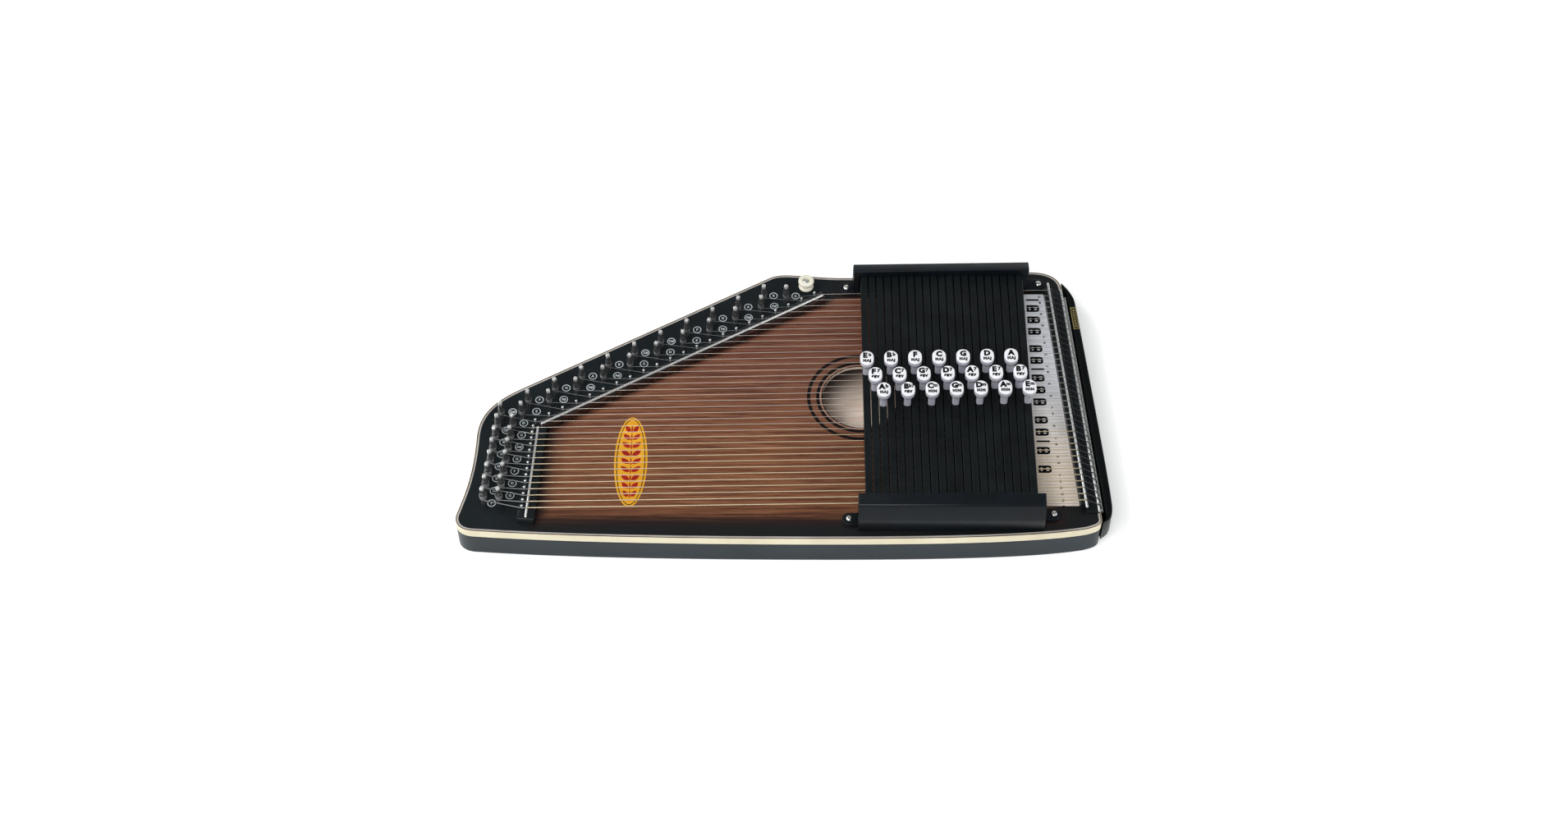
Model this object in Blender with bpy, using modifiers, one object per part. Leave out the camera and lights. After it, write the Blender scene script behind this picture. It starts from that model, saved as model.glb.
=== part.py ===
"""Chorded zither: a shallow wooden box with 36 strings, and 21 sprung bars that mute all but one chord.

Frame: origin under the middle of the back, +X along the bass side, +Y towards the treble side, +Z up
out of the soundboard. Lengths in the tables are millimetres and become metres through MM.
"""
import math

import bmesh
import bpy
from mathutils import Matrix, Vector

MM = 0.001
GAP = 0.3                       # clearance between pieces that touch
JOIN_STEP = 0.1                 # keeps the faces of joined solids out of one plane
CUT_MARGIN = 5.0                # how far a cutter reaches past what it cuts

# Body
BODY_DEPTH = 33.0
BACK_THICKNESS = 3.0
TOP_THICKNESS = 3.0
BINDING_WIDTH = 2.0
BINDING_HEIGHT = 8.2
SOUND_HOLE_CENTRE = (65.1, 3.8)
SOUND_HOLE_RADIUS = 32.7
SOUND_HOLE_SIDES = 28
CURVE_STEPS = 6

# Body outline: a start point, then (end, first control, second control); no controls means straight.
OUTLINE_START = (-276.9, -120.0)
OUTLINE = [
    ((-262.0, -135.5), (-278.0, -127.0), (-274.0, -134.6)),
    ((40.0, -143.6), (-180.0, -142.0), (-60.0, -143.6)),
    ((252.0, -134.0), (140.0, -143.6), (215.0, -141.0)),
    ((266.2, -124.0), (262.0, -131.5), (266.0, -129.0)),
    ((248.7, 124.8), None, None),
    ((222.0, 143.9), (247.8, 137.0), (238.0, 143.9)),
    ((50.0, 137.2), (165.0, 143.9), (110.0, 136.6)),
    ((-0.2, 140.5), (30.0, 137.4), (14.0, 140.6)),
    ((-15.0, 136.7), (-6.0, 140.4), (-10.0, 139.6)),
    ((-229.4, 13.2), None, None),
    ((-265.3, -38.0), (-252.0, 0.2), (-265.0, -14.0)),
    ((-276.9, -120.0), (-265.3, -85.0), (-273.0, -103.0)),
]

# Seam between the pin block (left of it) and the soundboard (right of it), hidden by the nut strips.
SEAM = [(-218.3, -160.0), (-211.6, -32.5), (38.0, 112.4), (44.0, 160.0)]
LEFT_OF_BODY = [(-320.0, 160.0), (-320.0, -160.0)]
# Inner face of the rails, and of the anchor block at the right end that the strings pull on.
CAVITY = [
    (-230.0, -117.0), (40.0, -119.6), (239.7, -112.0), (225.9, 118.0),
    (170.0, 118.0), (110.0, 114.5), (50.0, 113.0), (-230.0, 113.0),
]
BRACE_WIDTH = 12.0
BRACE_HEIGHT = 10.0
BRACES = [(0.0, -122.0, 82.0), (125.0, -122.0, 116.0)]      # x, lowest y, highest y

# Rods that the strings cross, each on a raised strip
ROD_RADIUS = 1.25
ROD_TOP = 10.0                  # height above the soundboard
STRIP_TOP = 7.9                 # the rods sit a little way into their strips
LEFT_NUT_STRIP = (-8.0, 7.2)    # from the nut rod, towards the pins and away from them
SLANTED_NUT_STRIP = (-5.5, 2.8)
BRIDGE_STRIP = (-4.3, 3.5)      # from the bridge rod, towards the bars and away from them
BRIDGE_ROD_OVERHANG = 4.8
BRIDGE_PLATE_TOP = 1.3          # thin plate that carries the edge rod
LEFT_NUT = [(-217.1, -127.6), (-211.9, -34.0)]
SLANTED_NUT = [(-209.8, -31.4), (34.3, 110.3)]
BRIDGE = [(253.3, -117.8), (235.4, 124.2)]
EDGE_ROD = [(264.4, -117.5), (247.6, 121.5)]
EDGE_ROD_TOP = 2.8

# Strings, counted from the bass side
STRING_COUNT = 36
WOUND_COUNT = 12
BASS_STRING_RIGHT = (252.1, -111.0)
TREBLE_STRING_RIGHT = (234.7, 114.9)
BASS_SLOPE = 0.0169
TREBLE_SLOPE = 0.0240
BASS_STRING_RADIUS = 0.55
LAST_WOUND_RADIUS = 0.38
FIRST_PLAIN_RADIUS = 0.26
TREBLE_STRING_RADIUS = 0.16
STRING_COIL_HEIGHT = 7.0
ANCHOR_BAR_OFFSET = 3.4         # outward from the edge rod
ANCHOR_BAR = (2.2, 3.0)         # width and height of the bar that holds the string ends
ANCHOR_BAR_TOP = -3.5
ANCHOR_BAR_SHORT = 4.0          # how much it falls short of the edge rod at each end
STRING_END_DEPTH = 1.2          # how far a string's end goes into the bar
EDGE_WRAP = (80.0, 15.0)        # angles at which a string's bend round the edge rod starts and ends

# Tuning pins
PIN_RADIUS = 2.5
PIN_TOP = 22.0
PIN_DEPTH = 18.0
PIN_SIDES = 6
TOP_PIN = (0.9, 110.6)
OUTER_ROW = ((-18.9, 110.9), (-22.57, -12.87), 11)      # first pin, step, count
INNER_ROW = ((-21.2, 98.9), (-22.86, -12.93), 10)
OUTER_COLUMN = ((-246.8, -30.6), (-1.2, -12.57), 7)
INNER_COLUMN = ((-233.8, -30.6), (-1.17, -12.57), 7)
GUIDE_OFFSET = 3.9              # from a nut rod to the guide pins on its strip
LEFT_STRING_COUNT = 14          # strings that cross the left nut

# Chord bars
BAR_COUNT = 21
BAR_PITCH = 6.885
FIRST_BAR_X = 70.3
BAR_WIDTH = 6.3
BAR_BOTTOM = 18.5
BAR_TOP = 24.5
BAR_END = 10.0                  # how far a bar reaches into its holder
FELT_WIDTH = 5.9
FELT_BOTTOM = 15.0
FELT_INSET = 2.5
NOTCH_WIDTH = 2.6
NOTCH_END = 7.4

# Bar holders: outline in (outward, up) from the holder's inner edge
HOLDER_LEFT = 60.9
HOLDER_RIGHT = 217.1
HOLDER_END_WALL = 5.3
HOLDER_OUTER = [(0.0, 31.0), (11.0, 28.7), (17.0, 14.0), (17.0, GAP), (0.0, GAP)]
HOLDER_HOLLOW = [(-1.0, 2.8), (15.0, 2.8), (15.0, 13.6), (9.4, 27.0), (2.0, 28.5), (2.0, 25.0), (-1.0, 25.0)]
RIB = [(7.8, 2.3), (7.8, 24.0), (11.6, 24.0), (15.8, 13.8), (15.8, 2.3)]
RIB_WIDTH = 1.8
NEAR_EDGE = -117.7
FAR_EDGE = 118.6
FAR_SLOPE = 0.0173              # the treble holder follows the treble edge of the body
EAR_RADIUS = 6.0
EAR_TOP = 3.3
EAR_OVERLAP = 2.0
EAR_STEPS = 6
NEAR_EARS = [(53.6, -125.0), (225.8, -120.3)]
FAR_EARS = [(55.1, 123.0), (227.5, 127.5)]
SCREW_RADIUS = 1.5
SCREW_HEAD_RADIUS = 2.75
SCREW_HEAD_HEIGHT = 1.9
SCREW_HEAD_EDGE = 0.5           # height of the head's straight edge
SCREW_HEAD_FLAT = 0.7           # share of its radius that is flat on top
SCREW_LENGTH = 14.0
SCREW_SIDES = 8

# Springs under the bar ends
SPRING_OUTER_RADIUS = 2.5
SPRING_WIRE_RADIUS = 0.35
SPRING_TURNS = 2
SPRING_POINTS = 4
SPRING_OFFSET = 4.0
SPRING_STRIP = [(1.0, 3.1), (7.0, 3.1), (7.0, 3.6), (1.0, 3.6)]     # locating strip under the springs

# Chord buttons: half sizes of the post and the face
POST_HALF = (3.1, 3.4)
FACE_HALF = (5.9, 7.5)
FLAT_SHARE = (0.55, 0.60)       # share of each side that stays straight between the cut corners
POST_TOP = 34.0
FACE_BOTTOM = 40.0
BUTTON_TOP = 45.0
BUTTON_ROWS = [14.3, -3.1, -19.5]
BUTTON_ROW_SLOPE = 0.0245
BUTTON_ROW_MIDDLE = 139.0
CHORDS = [
    "eb_major", "f_seventh", "ab_major", "bb_major", "c_seventh", "bb_seventh", "f_major",
    "g_seventh", "c_minor", "c_major", "d_seventh", "g_minor", "g_major", "a_seventh",
    "d_minor", "d_major", "e_seventh", "a_minor", "a_major", "b_seventh", "e_minor",
]

# End cover over the string ends
COVER_OUTER = [
    (266.8, -127.3), (275.3, -121.7), (276.8, -102.6), (260.4, 108.3),
    (258.9, 116.2), (253.9, 125.3), (248.8, 131.0),
]
COVER_BOTTOM = 8.0
COVER_WALL = 2.5
COVER_DEPTH = 8.3               # from the body's edge to the inside of the outer wall
COVER_SLOT = 4.0                # open strip along the body, where the strings go down
COVER_HOLLOW_ENDS = (-116.0, 119.0)

STRAP_BUTTON = (19.0, 127.2)
STRAP_BUTTON_PROFILE = [(7.0, 9.0), (7.0, 6.8), (4.4, 5.4), (4.4, 3.2), (6.6, 1.6), (6.6, GAP)]
STRAP_BUTTON_SIDES = 12

# Materials: colour, roughness, metallic
LACQUER = ((0.010, 0.012, 0.014), 0.25, 0.0)
TOP_WOOD = ((0.200, 0.065, 0.035), 0.35, 0.0)
CREAM = ((0.800, 0.720, 0.480), 0.40, 0.0)
STEEL = ((0.600, 0.600, 0.600), 0.25, 1.0)
BLACK_PLASTIC = ((0.012, 0.014, 0.016), 0.40, 0.0)
WHITE_PLASTIC = ((0.780, 0.780, 0.820), 0.35, 0.0)


# ---------------------------------------------------------------- scene and materials

def clear_scene():
    for old in list(bpy.data.objects):
        bpy.data.objects.remove(old, do_unlink=True)


def new_collection(name):
    collection = bpy.data.collections.new(name)
    bpy.context.scene.collection.children.link(collection)
    return collection


def material(name, finish):
    colour, roughness, metallic = finish
    made = bpy.data.materials.new(name)
    made.use_nodes = True
    shader = made.node_tree.nodes["Principled BSDF"]
    shader.inputs["Base Color"].default_value = (*colour, 1.0)
    shader.inputs["Roughness"].default_value = roughness
    shader.inputs["Metallic"].default_value = metallic
    return made


def finish_part(part, name, finish):
    """Name a part, give it its own material and file it with the other parts."""
    part.name = name
    part.data.name = name
    part.data.materials.clear()
    part.data.materials.append(material(name, finish))
    PARTS.objects.link(part)
    part.parent = ROOT
    return part


def finish_cutter(cutter, name):
    cutter.name = name
    cutter.hide_render = True
    cutter.display_type = "WIRE"
    CUTTERS.objects.link(cutter)
    return cutter


def boolean(part, tool, operation):
    modifier = part.modifiers.new(tool.name, "BOOLEAN")
    modifier.operation = operation
    modifier.solver = "EXACT"
    modifier.object = tool


# ---------------------------------------------------------------- shapes

def bezier_point(p0, p1, p2, p3, t):
    s = 1.0 - t
    return tuple(
        s ** 3 * a + 3 * s * s * t * b + 3 * s * t * t * c + t ** 3 * d
        for a, b, c, d in zip(p0, p1, p2, p3)
    )


def body_outline():
    """Sample the outline counter-clockwise, with CURVE_STEPS points along each curved stretch."""
    points = []
    here = OUTLINE_START
    for end, first, second in OUTLINE:
        if first is None:
            points.append(end)
        else:
            steps = range(1, CURVE_STEPS + 1)
            points += [bezier_point(here, first, second, end, k / CURVE_STEPS) for k in steps]
        here = end
    return points


def inset(points, distance):
    """Move every side of a counter-clockwise outline inwards by a distance."""
    result = []
    count = len(points)
    for k in range(count):
        before = Vector(points[k - 1])
        here = Vector(points[k])
        after = Vector(points[(k + 1) % count])
        first = (here - before).normalized()
        second = (after - here).normalized()
        normal = Vector((-first.y - second.y, first.x + second.x)).normalized()
        spread = normal.dot(Vector((-first.y, first.x)))
        result.append(tuple(here + normal * (distance / spread)))
    return result


def circle(centre, radius, sides):
    turn = 2.0 * math.pi / sides
    return [
        (centre[0] + radius * math.cos(turn * k), centre[1] + radius * math.sin(turn * k))
        for k in range(sides)
    ]


def rectangle(x0, y0, x1, y1):
    return [(x0, y0), (x1, y0), (x1, y1), (x0, y1)]


def filled_outline(loops, thickness, matrix):
    """Extrude a flat outline, whose further loops are holes, and return it as a mesh object."""
    curve = bpy.data.curves.new("outline", "CURVE")
    curve.dimensions = "2D"
    curve.fill_mode = "BOTH"
    curve.extrude = 0.5 * thickness * MM
    for loop in loops:
        spline = curve.splines.new("POLY")
        spline.points.add(len(loop) - 1)
        for point, (x, y) in zip(spline.points, loop):
            point.co = (x * MM, y * MM, 0.0, 1.0)
        spline.use_cyclic_u = True
    holder = bpy.data.objects.new("outline", curve)
    bpy.context.scene.collection.objects.link(holder)
    bpy.context.view_layer.update()
    evaluated = holder.evaluated_get(bpy.context.evaluated_depsgraph_get())
    mesh = bpy.data.meshes.new_from_object(evaluated)
    bpy.data.objects.remove(holder, do_unlink=True)
    bpy.data.curves.remove(curve)
    shape = bmesh.new()
    shape.from_mesh(mesh)
    bmesh.ops.remove_doubles(shape, verts=shape.verts, dist=0.00001)
    bmesh.ops.transform(shape, matrix=matrix, verts=shape.verts)
    bmesh.ops.recalc_face_normals(shape, faces=shape.faces)
    shape.to_mesh(mesh)
    shape.free()
    return bpy.data.objects.new("plate", mesh)


def plate(loops, bottom, top):
    """A flat plate between two heights above the ground."""
    middle = Matrix.Translation((0.0, 0.0, 0.5 * (bottom + top) * MM))
    return filled_outline(loops, top - bottom, middle)


def joined(pieces):
    """Join mesh objects into one object of separate solids."""
    shape = bmesh.new()
    for piece in pieces:
        shape.from_mesh(piece.data)
        bpy.data.objects.remove(piece, do_unlink=True)
    mesh = bpy.data.meshes.new("joined")
    shape.to_mesh(mesh)
    shape.free()
    return bpy.data.objects.new("joined", mesh)


def cylinders(places, radius, bottom, top, sides):
    """Upright cylinders at (x, y) places, as one object."""
    shape = bmesh.new()
    for x, y in places:
        move = Matrix.Translation((x * MM, y * MM, 0.5 * (bottom + top) * MM))
        bmesh.ops.create_cone(
            shape, cap_ends=True, segments=sides, radius1=radius * MM, radius2=radius * MM,
            depth=(top - bottom) * MM, matrix=move,
        )
    mesh = bpy.data.meshes.new("cylinders")
    shape.to_mesh(mesh)
    shape.free()
    return bpy.data.objects.new("cylinders", mesh)


def turned(profile, place, base, sides):
    """Turn a (radius, height) profile about an upright axis with a Screw modifier."""
    points = [(0.0, profile[0][1])] + list(profile) + [(0.0, profile[-1][1])]
    mesh = bpy.data.meshes.new("profile")
    edges = [(k, k + 1) for k in range(len(points) - 1)]
    mesh.from_pydata([(r * MM, 0.0, h * MM) for r, h in points], edges, [])
    part = bpy.data.objects.new("profile", mesh)
    part.location = (place[0] * MM, place[1] * MM, base * MM)
    screw = part.modifiers.new("turn", "SCREW")
    screw.steps = sides
    screw.render_steps = sides
    screw.use_merge_vertices = True
    screw.merge_threshold = 0.00001
    return part


def tubes(paths, sides_level):
    """Round wires as one curve object: each path is a list of ((x, y, z), radius)."""
    curve = bpy.data.curves.new("wires", "CURVE")
    curve.dimensions = "3D"
    curve.bevel_depth = MM
    curve.bevel_resolution = sides_level
    curve.use_fill_caps = True
    for path in paths:
        spline = curve.splines.new("POLY")
        spline.points.add(len(path) - 1)
        for point, (place, radius) in zip(spline.points, path):
            point.co = (*(value * MM for value in place), 1.0)
            point.radius = radius
    return bpy.data.objects.new("wires", curve)


def solid_tubes(paths, sides_level):
    """The same wires as one mesh object with welded caps."""
    holder = tubes(paths, sides_level)
    bpy.context.scene.collection.objects.link(holder)
    bpy.context.view_layer.update()
    evaluated = holder.evaluated_get(bpy.context.evaluated_depsgraph_get())
    mesh = bpy.data.meshes.new_from_object(evaluated)
    bpy.data.objects.remove(holder, do_unlink=True)
    shape = bmesh.new()
    shape.from_mesh(mesh)
    bmesh.ops.remove_doubles(shape, verts=shape.verts, dist=0.00001)
    bmesh.ops.recalc_face_normals(shape, faces=shape.faces)
    shape.to_mesh(mesh)
    shape.free()
    return bpy.data.objects.new("wires", mesh)


def loft(sections):
    """A solid between (x, y, z) rings of equal count, closed at both ends."""
    shape = bmesh.new()
    rings = [[shape.verts.new(Vector(point) * MM) for point in ring] for ring in sections]
    count = len(rings[0])
    for lower, upper in zip(rings, rings[1:]):
        for k in range(count):
            after = (k + 1) % count
            shape.faces.new((lower[k], lower[after], upper[after], upper[k]))
    shape.faces.new(list(reversed(rings[0])))
    shape.faces.new(rings[-1])
    bmesh.ops.recalc_face_normals(shape, faces=shape.faces)
    mesh = bpy.data.meshes.new("loft")
    shape.to_mesh(mesh)
    shape.free()
    return bpy.data.objects.new("loft", mesh)


# ---------------------------------------------------------------- body

def left_of_seam(distance):
    """The half plane left of the seam, moved by a distance to the right."""
    edge = [(x + distance, y) for x, y in SEAM]
    return edge + LEFT_OF_BODY


def make_body():
    outline = body_outline()
    inner = inset(outline, BINDING_WIDTH + GAP)
    board_bottom = BODY_DEPTH - TOP_THICKNESS
    frame_bottom = BACK_THICKNESS + GAP
    frame_top = board_bottom - GAP
    binding_bottom = BODY_DEPTH - BINDING_HEIGHT
    shoulder = binding_bottom - GAP
    above = BODY_DEPTH + CUT_MARGIN

    back = plate([outline], 0.0, BACK_THICKNESS)
    finish_part(back, "back_panel", LACQUER)

    binding = plate([outline, inset(outline, BINDING_WIDTH)], binding_bottom, BODY_DEPTH)
    finish_part(binding, "binding", CREAM)

    seam_gap = 2.0 * GAP
    left = plate([left_of_seam(0.0)], -CUT_MARGIN, above)
    finish_cutter(left, "cut_left_of_seam")
    left_and_gap = plate([left_of_seam(seam_gap)], -CUT_MARGIN, above)
    finish_cutter(left_and_gap, "cut_left_and_gap")
    screw_places = NEAR_EARS + FAR_EARS
    screw_bottom = BODY_DEPTH - SCREW_LENGTH - GAP
    screw_holes = cylinders(screw_places, SCREW_RADIUS + GAP, screw_bottom, above, SCREW_SIDES)
    finish_cutter(screw_holes, "cut_screw_holes")

    block = plate([outline], frame_bottom, shoulder)
    finish_part(block, "pin_block", LACQUER)
    block_core = plate([inner], frame_bottom + JOIN_STEP, BODY_DEPTH)
    finish_cutter(block_core, "block_core")
    places = [place for place, _ in tuning_pin_strings()]
    pins = cylinders(places, PIN_RADIUS, BODY_DEPTH - PIN_DEPTH, BODY_DEPTH + PIN_TOP, PIN_SIDES)
    finish_cutter(pins, "pins")
    boolean(block, block_core, "UNION")
    boolean(block, left, "INTERSECT")
    boolean(block, pins, "UNION")

    cavity = plate([CAVITY], -CUT_MARGIN, above)
    finish_cutter(cavity, "cut_cavity")
    half = 0.5 * BRACE_WIDTH
    braces = []
    for x, low, high in BRACES:
        flat = [rectangle(x - half, low, x + half, high)]
        braces.append(plate(flat, frame_top - BRACE_HEIGHT, frame_top - 0.5 * GAP))
    ladder = finish_cutter(joined(braces), "braces")
    frame = plate([outline], frame_bottom, shoulder)
    finish_part(frame, "inner_frame", LACQUER)
    frame_core = plate([inner], frame_bottom + JOIN_STEP, frame_top)
    finish_cutter(frame_core, "frame_core")
    boolean(frame, frame_core, "UNION")
    boolean(frame, cavity, "DIFFERENCE")
    boolean(frame, left_and_gap, "DIFFERENCE")
    boolean(frame, screw_holes, "DIFFERENCE")
    boolean(frame, ladder, "UNION")

    sound_hole = circle(SOUND_HOLE_CENTRE, SOUND_HOLE_RADIUS, SOUND_HOLE_SIDES)
    board = plate([inner, sound_hole], board_bottom, BODY_DEPTH)
    finish_part(board, "soundboard", TOP_WOOD)
    boolean(board, left_and_gap, "DIFFERENCE")
    boolean(board, screw_holes, "DIFFERENCE")


# ---------------------------------------------------------------- strings and their supports

def string_line(number):
    """Right end and slope of a string, numbered 1 at the bass side."""
    share = (number - 1) / (STRING_COUNT - 1)
    right = tuple(a + (b - a) * share for a, b in zip(BASS_STRING_RIGHT, TREBLE_STRING_RIGHT))
    return right, BASS_SLOPE + (TREBLE_SLOPE - BASS_SLOPE) * share


def cross(line, number):
    """Where a string crosses a line given by two points."""
    (x0, y0), (x1, y1) = line
    right, slope = string_line(number)
    lean = (x1 - x0) / (y1 - y0)
    y = (right[1] + slope * (x0 - lean * y0 - right[0])) / (1.0 - slope * lean)
    return (x0 + lean * (y - y0), y)


def string_radius(number):
    if number <= WOUND_COUNT:
        share = (number - 1) / (WOUND_COUNT - 1)
        return BASS_STRING_RADIUS + (LAST_WOUND_RADIUS - BASS_STRING_RADIUS) * share
    share = (number - WOUND_COUNT - 1) / (STRING_COUNT - WOUND_COUNT - 1)
    return FIRST_PLAIN_RADIUS + (TREBLE_STRING_RADIUS - FIRST_PLAIN_RADIUS) * share


def row_place(row, k):
    (x, y), (step_x, step_y), _ = row
    return (x + step_x * k, y + step_y * k)


def tuning_pin_strings():
    """Every tuning pin with the number of its string."""
    pairs = [(TOP_PIN, STRING_COUNT)]
    pairs += [(row_place(OUTER_ROW, k), STRING_COUNT - 1 - 2 * k) for k in range(OUTER_ROW[2])]
    pairs += [(row_place(INNER_ROW, k), STRING_COUNT - 2 - 2 * k) for k in range(INNER_ROW[2])]
    pairs += [(row_place(INNER_COLUMN, k), LEFT_STRING_COUNT - 2 * k) for k in range(INNER_COLUMN[2])]
    pairs += [(row_place(OUTER_COLUMN, k), LEFT_STRING_COUNT - 1 - 2 * k) for k in range(OUTER_COLUMN[2])]
    return pairs


def string_path(pin, number):
    """Points of a string from its tuning pin to its ball end, with its radius at each."""
    radius = string_radius(number)
    nut = LEFT_NUT if number <= LEFT_STRING_COUNT else SLANTED_NUT
    nut_x, nut_y = cross(nut, number)
    direction = (Vector(nut[1]) - Vector(nut[0])).normalized()
    guide_x = nut_x - GUIDE_OFFSET / abs(direction.y)
    right, slope = string_line(number)
    guide = Vector((guide_x, right[1] + slope * (guide_x - right[0])))
    leave = (guide - Vector(pin)).normalized()
    start = Vector(pin) + Vector((leave.y, -leave.x)) * (PIN_RADIUS + GAP + radius)
    above = BODY_DEPTH + ROD_TOP + GAP + radius
    coil = BODY_DEPTH + STRING_COIL_HEIGHT
    rise = (start - guide).length / (start - Vector((nut_x, nut_y))).length
    bridge_x, bridge_y = cross(BRIDGE, number)
    edge_x, edge_y = cross(EDGE_ROD, number)
    _, outward = edge_direction()
    reach = ROD_RADIUS + 2.0 * GAP + radius
    edge_z = BODY_DEPTH + EDGE_ROD_TOP - ROD_RADIUS
    points = [
        (start.x, start.y, coil),
        (guide.x, guide.y, coil + (above - coil) * rise),
        (nut_x, nut_y, above),
        (bridge_x, bridge_y, above),
    ]
    reach /= math.cos(math.radians(0.5 * (EDGE_WRAP[0] - EDGE_WRAP[1])))
    for angle in EDGE_WRAP:
        out = reach * math.cos(math.radians(angle))
        up = reach * math.sin(math.radians(angle))
        points.append((edge_x + outward.x * out, edge_y + outward.y * out, edge_z + up))
    hang = Vector((edge_x, edge_y)) + outward * ANCHOR_BAR_OFFSET
    points.append((hang.x, hang.y, BODY_DEPTH + ANCHOR_BAR_TOP - STRING_END_DEPTH))
    return [(point, radius) for point in points]


def edge_direction():
    """Unit vectors along the edge rod and outward from the body."""
    along = (Vector(EDGE_ROD[1]) - Vector(EDGE_ROD[0])).normalized()
    return along, Vector((along.y, -along.x))


def strip(line, left, right, bottom, top, extra=1.0):
    """A raised strip along a rod line, between a left and a right distance from it."""
    start = Vector(line[0])
    end = Vector(line[1])
    along = (end - start).normalized()
    across = Vector((along.y, -along.x))
    start -= along * extra
    end += along * extra
    corners = [start + across * left, start + across * right, end + across * right, end + across * left]
    return plate([[tuple(corner) for corner in corners]], BODY_DEPTH + bottom, BODY_DEPTH + top)


def rod(line, top, sides_level=2):
    height = BODY_DEPTH + top - ROD_RADIUS
    return solid_tubes([[((*point, height), ROD_RADIUS) for point in line]], sides_level)


def make_strings():
    pairs = tuning_pin_strings()
    strings = solid_tubes([string_path(pin, number) for pin, number in pairs], 0)
    along, outward = edge_direction()
    half_width = 0.5 * ANCHOR_BAR[0]
    bar = strip(
        EDGE_ROD, ANCHOR_BAR_OFFSET - half_width, ANCHOR_BAR_OFFSET + half_width,
        ANCHOR_BAR_TOP - ANCHOR_BAR[1], ANCHOR_BAR_TOP, -ANCHOR_BAR_SHORT,
    )
    finish_part(bar, "strings", STEEL)
    finish_cutter(strings, "string_wires")
    boolean(bar, strings, "UNION")

    nut = strip(SLANTED_NUT, *SLANTED_NUT_STRIP, GAP, STRIP_TOP)
    finish_part(nut, "nut", LACQUER)
    step = JOIN_STEP
    left_strip = strip(LEFT_NUT, *LEFT_NUT_STRIP, GAP + step, STRIP_TOP - step)
    finish_cutter(left_strip, "left_nut_strip")
    nut_rods = joined([rod(LEFT_NUT, ROD_TOP), rod(SLANTED_NUT, ROD_TOP)])
    finish_cutter(nut_rods, "nut_rods")
    boolean(nut, left_strip, "UNION")
    boolean(nut, nut_rods, "UNION")

    bridge = strip(BRIDGE, *BRIDGE_STRIP, GAP, STRIP_TOP, -BRIDGE_ROD_OVERHANG)
    finish_part(bridge, "bridge", LACQUER)
    corners = [BRIDGE[0], EDGE_ROD[0], EDGE_ROD[1], BRIDGE[1]]
    thin = plate([corners], BODY_DEPTH + GAP + JOIN_STEP, BODY_DEPTH + BRIDGE_PLATE_TOP)
    finish_cutter(thin, "bridge_plate")
    bridge_rods = joined([rod(BRIDGE, ROD_TOP), rod(EDGE_ROD, EDGE_ROD_TOP)])
    finish_cutter(bridge_rods, "bridge_rods")
    boolean(bridge, thin, "UNION")
    boolean(bridge, bridge_rods, "UNION")


# ---------------------------------------------------------------- chord bars

def bar_x(index):
    return FIRST_BAR_X + BAR_PITCH * index


def far_edge(x):
    return FAR_EDGE + FAR_SLOPE * (x - HOLDER_LEFT)


def holder_prism(profile, x0, x1, far):
    """Extrude an (outward, up) profile along X, and lean the far one along the treble edge."""
    side = 1.0 if far else -1.0
    edge = far_edge(HOLDER_LEFT) if far else NEAR_EDGE
    basis = Matrix((
        (0.0, 0.0, side, 0.5 * (x0 + x1) * MM),
        (side, 0.0, 0.0, edge * MM),
        (0.0, 1.0, 0.0, BODY_DEPTH * MM),
        (0.0, 0.0, 0.0, 1.0),
    ))
    prism = filled_outline([profile], x1 - x0, basis)
    if far:
        for vertex in prism.data.vertices:
            vertex.co.y += FAR_SLOPE * (vertex.co.x - HOLDER_LEFT * MM)
    return prism


def ear_outline(x, y, reach):
    """A half disc round a screw hole, with a tail up to the holder."""
    away = 1.0 if reach < x else -1.0
    arc = []
    for k in range(EAR_STEPS + 1):
        angle = math.pi * (k / EAR_STEPS - 0.5)
        arc.append((x + away * EAR_RADIUS * math.cos(angle), y + away * EAR_RADIUS * math.sin(angle)))
    return arc + [(reach, y + away * EAR_RADIUS), (reach, y - away * EAR_RADIUS)]


def make_holder(name, far, ears):
    holder = holder_prism(HOLDER_OUTER, HOLDER_LEFT, HOLDER_RIGHT, far)
    finish_part(holder, name, BLACK_PLASTIC)
    hollow = holder_prism(HOLDER_HOLLOW, HOLDER_LEFT + HOLDER_END_WALL, HOLDER_RIGHT - HOLDER_END_WALL, far)
    finish_cutter(hollow, "cut_hollow_" + name)
    ribs = [
        holder_prism(RIB, bar_x(k) - 0.5 * RIB_WIDTH, bar_x(k) + 0.5 * RIB_WIDTH, far)
        for k in range(BAR_COUNT)
    ]
    comb = finish_cutter(joined(ribs), "comb_" + name)
    boolean(holder, hollow, "DIFFERENCE")
    boolean(holder, comb, "UNION")
    reaches = (HOLDER_LEFT + EAR_OVERLAP, HOLDER_RIGHT - EAR_OVERLAP)
    for k, ((x, y), reach) in enumerate(zip(ears, reaches)):
        ear = plate([ear_outline(x, y, reach)], BODY_DEPTH + GAP, BODY_DEPTH + EAR_TOP)
        finish_cutter(ear, "ear_%d_%s" % (k, name))
        boolean(holder, ear, "UNION")
    above = BODY_DEPTH + EAR_TOP + CUT_MARGIN
    holes = cylinders(ears, SCREW_RADIUS + GAP, BODY_DEPTH - CUT_MARGIN, above, SCREW_SIDES)
    finish_cutter(holes, "cut_holes_" + name)
    boolean(holder, holes, "DIFFERENCE")


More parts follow.
